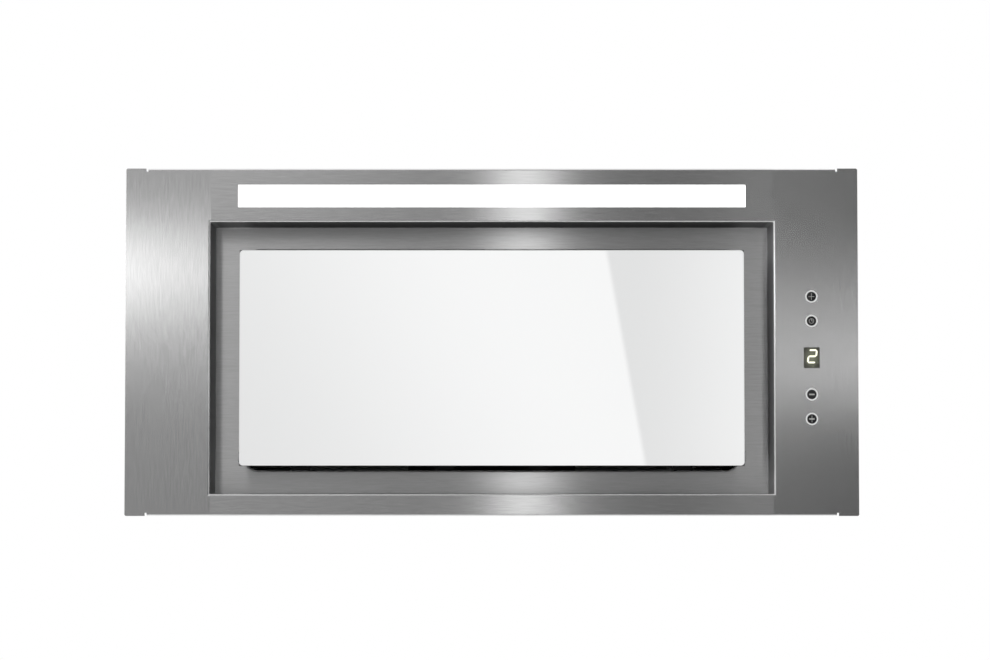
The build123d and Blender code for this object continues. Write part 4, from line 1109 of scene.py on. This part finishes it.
# These show in the mirror-smooth glass: a pane that grows brighter towards its slanted edge,
# and a softer card beside it
PANE_CARD = (-0.12, -0.12, 0.36, 0.33, 0.006, 0.12, 0.18, 1.75)
PANE_FADE = (-0.62, 0.12)
PANE_FADE_SLOPE = 0.5
WINDOW_CARD = (0.47, -0.12, 0.10, 0.26, 0.14, 0.12, 0.0, 1.25)
# The floor to reflected rays: its light on the left and right, near the hood and far from it
NEAR_HALF = 1.2
NEAR_LIGHT = (0.42, 0.15)
FAR_REACH = (2.6, 4.0)
FAR_LIGHT = (0.9, 0.3)
FLOOR_COLOR = (0.9, 0.9, 0.9, 1)
WHITE = (1, 1, 1, 1)
# Place, size and watts of each lamp, and where both point
LAMPS = {
    "front_lamp": ((1.4, -1.9, 1.5), 1.2, 7),
    "rear_lamp": ((-1.7, 1.6, 1.1), 1.0, 5),
}
LAMP_AIM = (0, 0, 0.12)


def make_card_group():
    """One soft-edged light card on the floor: its strength inside, 0 outside."""
    labels = ("X", "Y", *CARD_INPUTS)
    group, entry, end = shader_group(
        "light_card", [(label, FLOAT, 0.0) for label in labels], ("Light",)
    )
    down = math_node(group, "SUBTRACT", entry["Y"], entry["Centre Y"])
    moved = math_node(group, "SUBTRACT", entry["X"], entry["Centre X"])
    moved = math_node(group, "SUBTRACT", moved, math_node(group, "MULTIPLY", down, entry["Skew"]))
    masks = []
    for value, half, soft in (
        (moved, entry["Half X"], entry["Soft X"]),
        (down, entry["Half Y"], entry["Soft Y"]),
    ):
        low = math_node(group, "SUBTRACT", half, soft)
        high = math_node(group, "ADD", half, soft)
        far = math_node(group, "ABSOLUTE", value)
        masks.append(smooth_step(group, far, low, high, 1.0, 0.0))
    inside = math_node(group, "MULTIPLY", *masks)
    group.links.new(math_node(group, "MULTIPLY", inside, entry["Strength"]), end["Light"])
    return group


card_group = make_card_group()


def card_light(tree, parts, values):
    """The light of one card at a place on the floor."""
    inputs = {"X": parts[0], "Y": parts[1], **dict(zip(CARD_INPUTS, values))}
    return place_group(tree, card_group, inputs)[0]


def mirrored_light(tree, position, singular):
    """What reflected rays find on the floor: cards near the hood, and pale light far off."""
    parts = split_vector(tree, position)
    brushed = 0.0
    for values in STEEL_CARDS.values():
        brushed = math_node(tree, "ADD", brushed, card_light(tree, parts, values))
    edge = PANE_CARD[1] * PANE_FADE_SLOPE
    slope = math_node(tree, "MULTIPLY_ADD", parts[1], -PANE_FADE_SLOPE, edge)
    fade = smooth_step(tree, math_node(tree, "ADD", parts[0], slope), *PANE_FADE)
    window = card_light(tree, parts, WINDOW_CARD)
    pane = card_light(tree, parts, PANE_CARD)
    smooth = math_node(tree, "MULTIPLY_ADD", pane, fade, window)
    cards = mix(tree, "FLOAT", singular, brushed, smooth)
    near = smooth_step(tree, parts[0], -NEAR_HALF, NEAR_HALF, *NEAR_LIGHT)
    near = math_node(tree, "ADD", near, cards)
    distant = smooth_step(tree, parts[0], -FAR_REACH[0], FAR_REACH[0], *FAR_LIGHT)
    far = smooth_step(tree, vector_math(tree, "LENGTH", position), *FAR_REACH)
    return mix(tree, "FLOAT", far, near, distant)


def make_floor_material():
    """White to the camera, pale to scattered light, and a set of cards to reflected rays."""
    material = bpy.data.materials.new("studio_floor")
    material.use_nodes = True
    tree = material.node_tree
    tree.nodes.clear()
    path = tree.nodes.new("ShaderNodeLightPath").outputs
    position = tree.nodes.new("ShaderNodeTexCoord").outputs["Object"]
    light = mirrored_light(tree, position, path["Is Singular Ray"])
    cards = add_node(tree, "ShaderNodeEmission", {"Strength": light}).outputs[0]
    white = add_node(tree, "ShaderNodeEmission", {"Strength": 1.0}).outputs[0]
    pale = add_node(tree, "ShaderNodeBsdfDiffuse", {"Color": FLOOR_COLOR}).outputs[0]
    inputs = {0: path["Is Glossy Ray"], 1: pale, 2: cards}
    shown = add_node(tree, "ShaderNodeMixShader", inputs).outputs[0]
    seen = math_node(tree, "MAXIMUM", path["Is Camera Ray"], path["Is Transmission Ray"])
    shown = add_node(tree, "ShaderNodeMixShader", {0: seen, 1: shown, 2: white}).outputs[0]
    add_node(tree, "ShaderNodeOutputMaterial", {0: shown})
    return material


def add_floor():
    """The studio floor, which isn't part of the hood."""
    mesh = bpy.data.meshes.new("studio_floor")
    corners = [(x, y, FLOOR_Z) for x, y in bar(0, 0, FLOOR_HALF, FLOOR_HALF)]
    mesh.from_pydata(corners, [], [(0, 1, 2, 3)])
    mesh.materials.append(make_floor_material())
    floor = link_object("studio_floor", mesh)


def add_world():
    """An even white world, which lights the hood and stands behind it."""
    world = bpy.data.worlds.new("studio_world")
    world.use_nodes = True
    tree = world.node_tree
    tree.nodes.clear()
    white = add_node(tree, "ShaderNodeBackground", {"Color": WHITE, "Strength": 1.0}).outputs[0]
    add_node(tree, "ShaderNodeOutputWorld", {0: white})
    bpy.context.scene.world = world


def add_lamp(name, place, size, watts):
    """Large soft lamp that points at the hood."""
    data = bpy.data.lights.new(name, "AREA")
    data.size = size
    data.energy = watts
    lamp = link_object(name, data)
    lamp.location = place
    lamp.rotation_euler = (Vector(LAMP_AIM) - Vector(place)).to_track_quat("-Z", "Y").to_euler()


add_floor()
add_world()
for name, (place, size, watts) in LAMPS.items():
    add_lamp(name, place, size, watts)
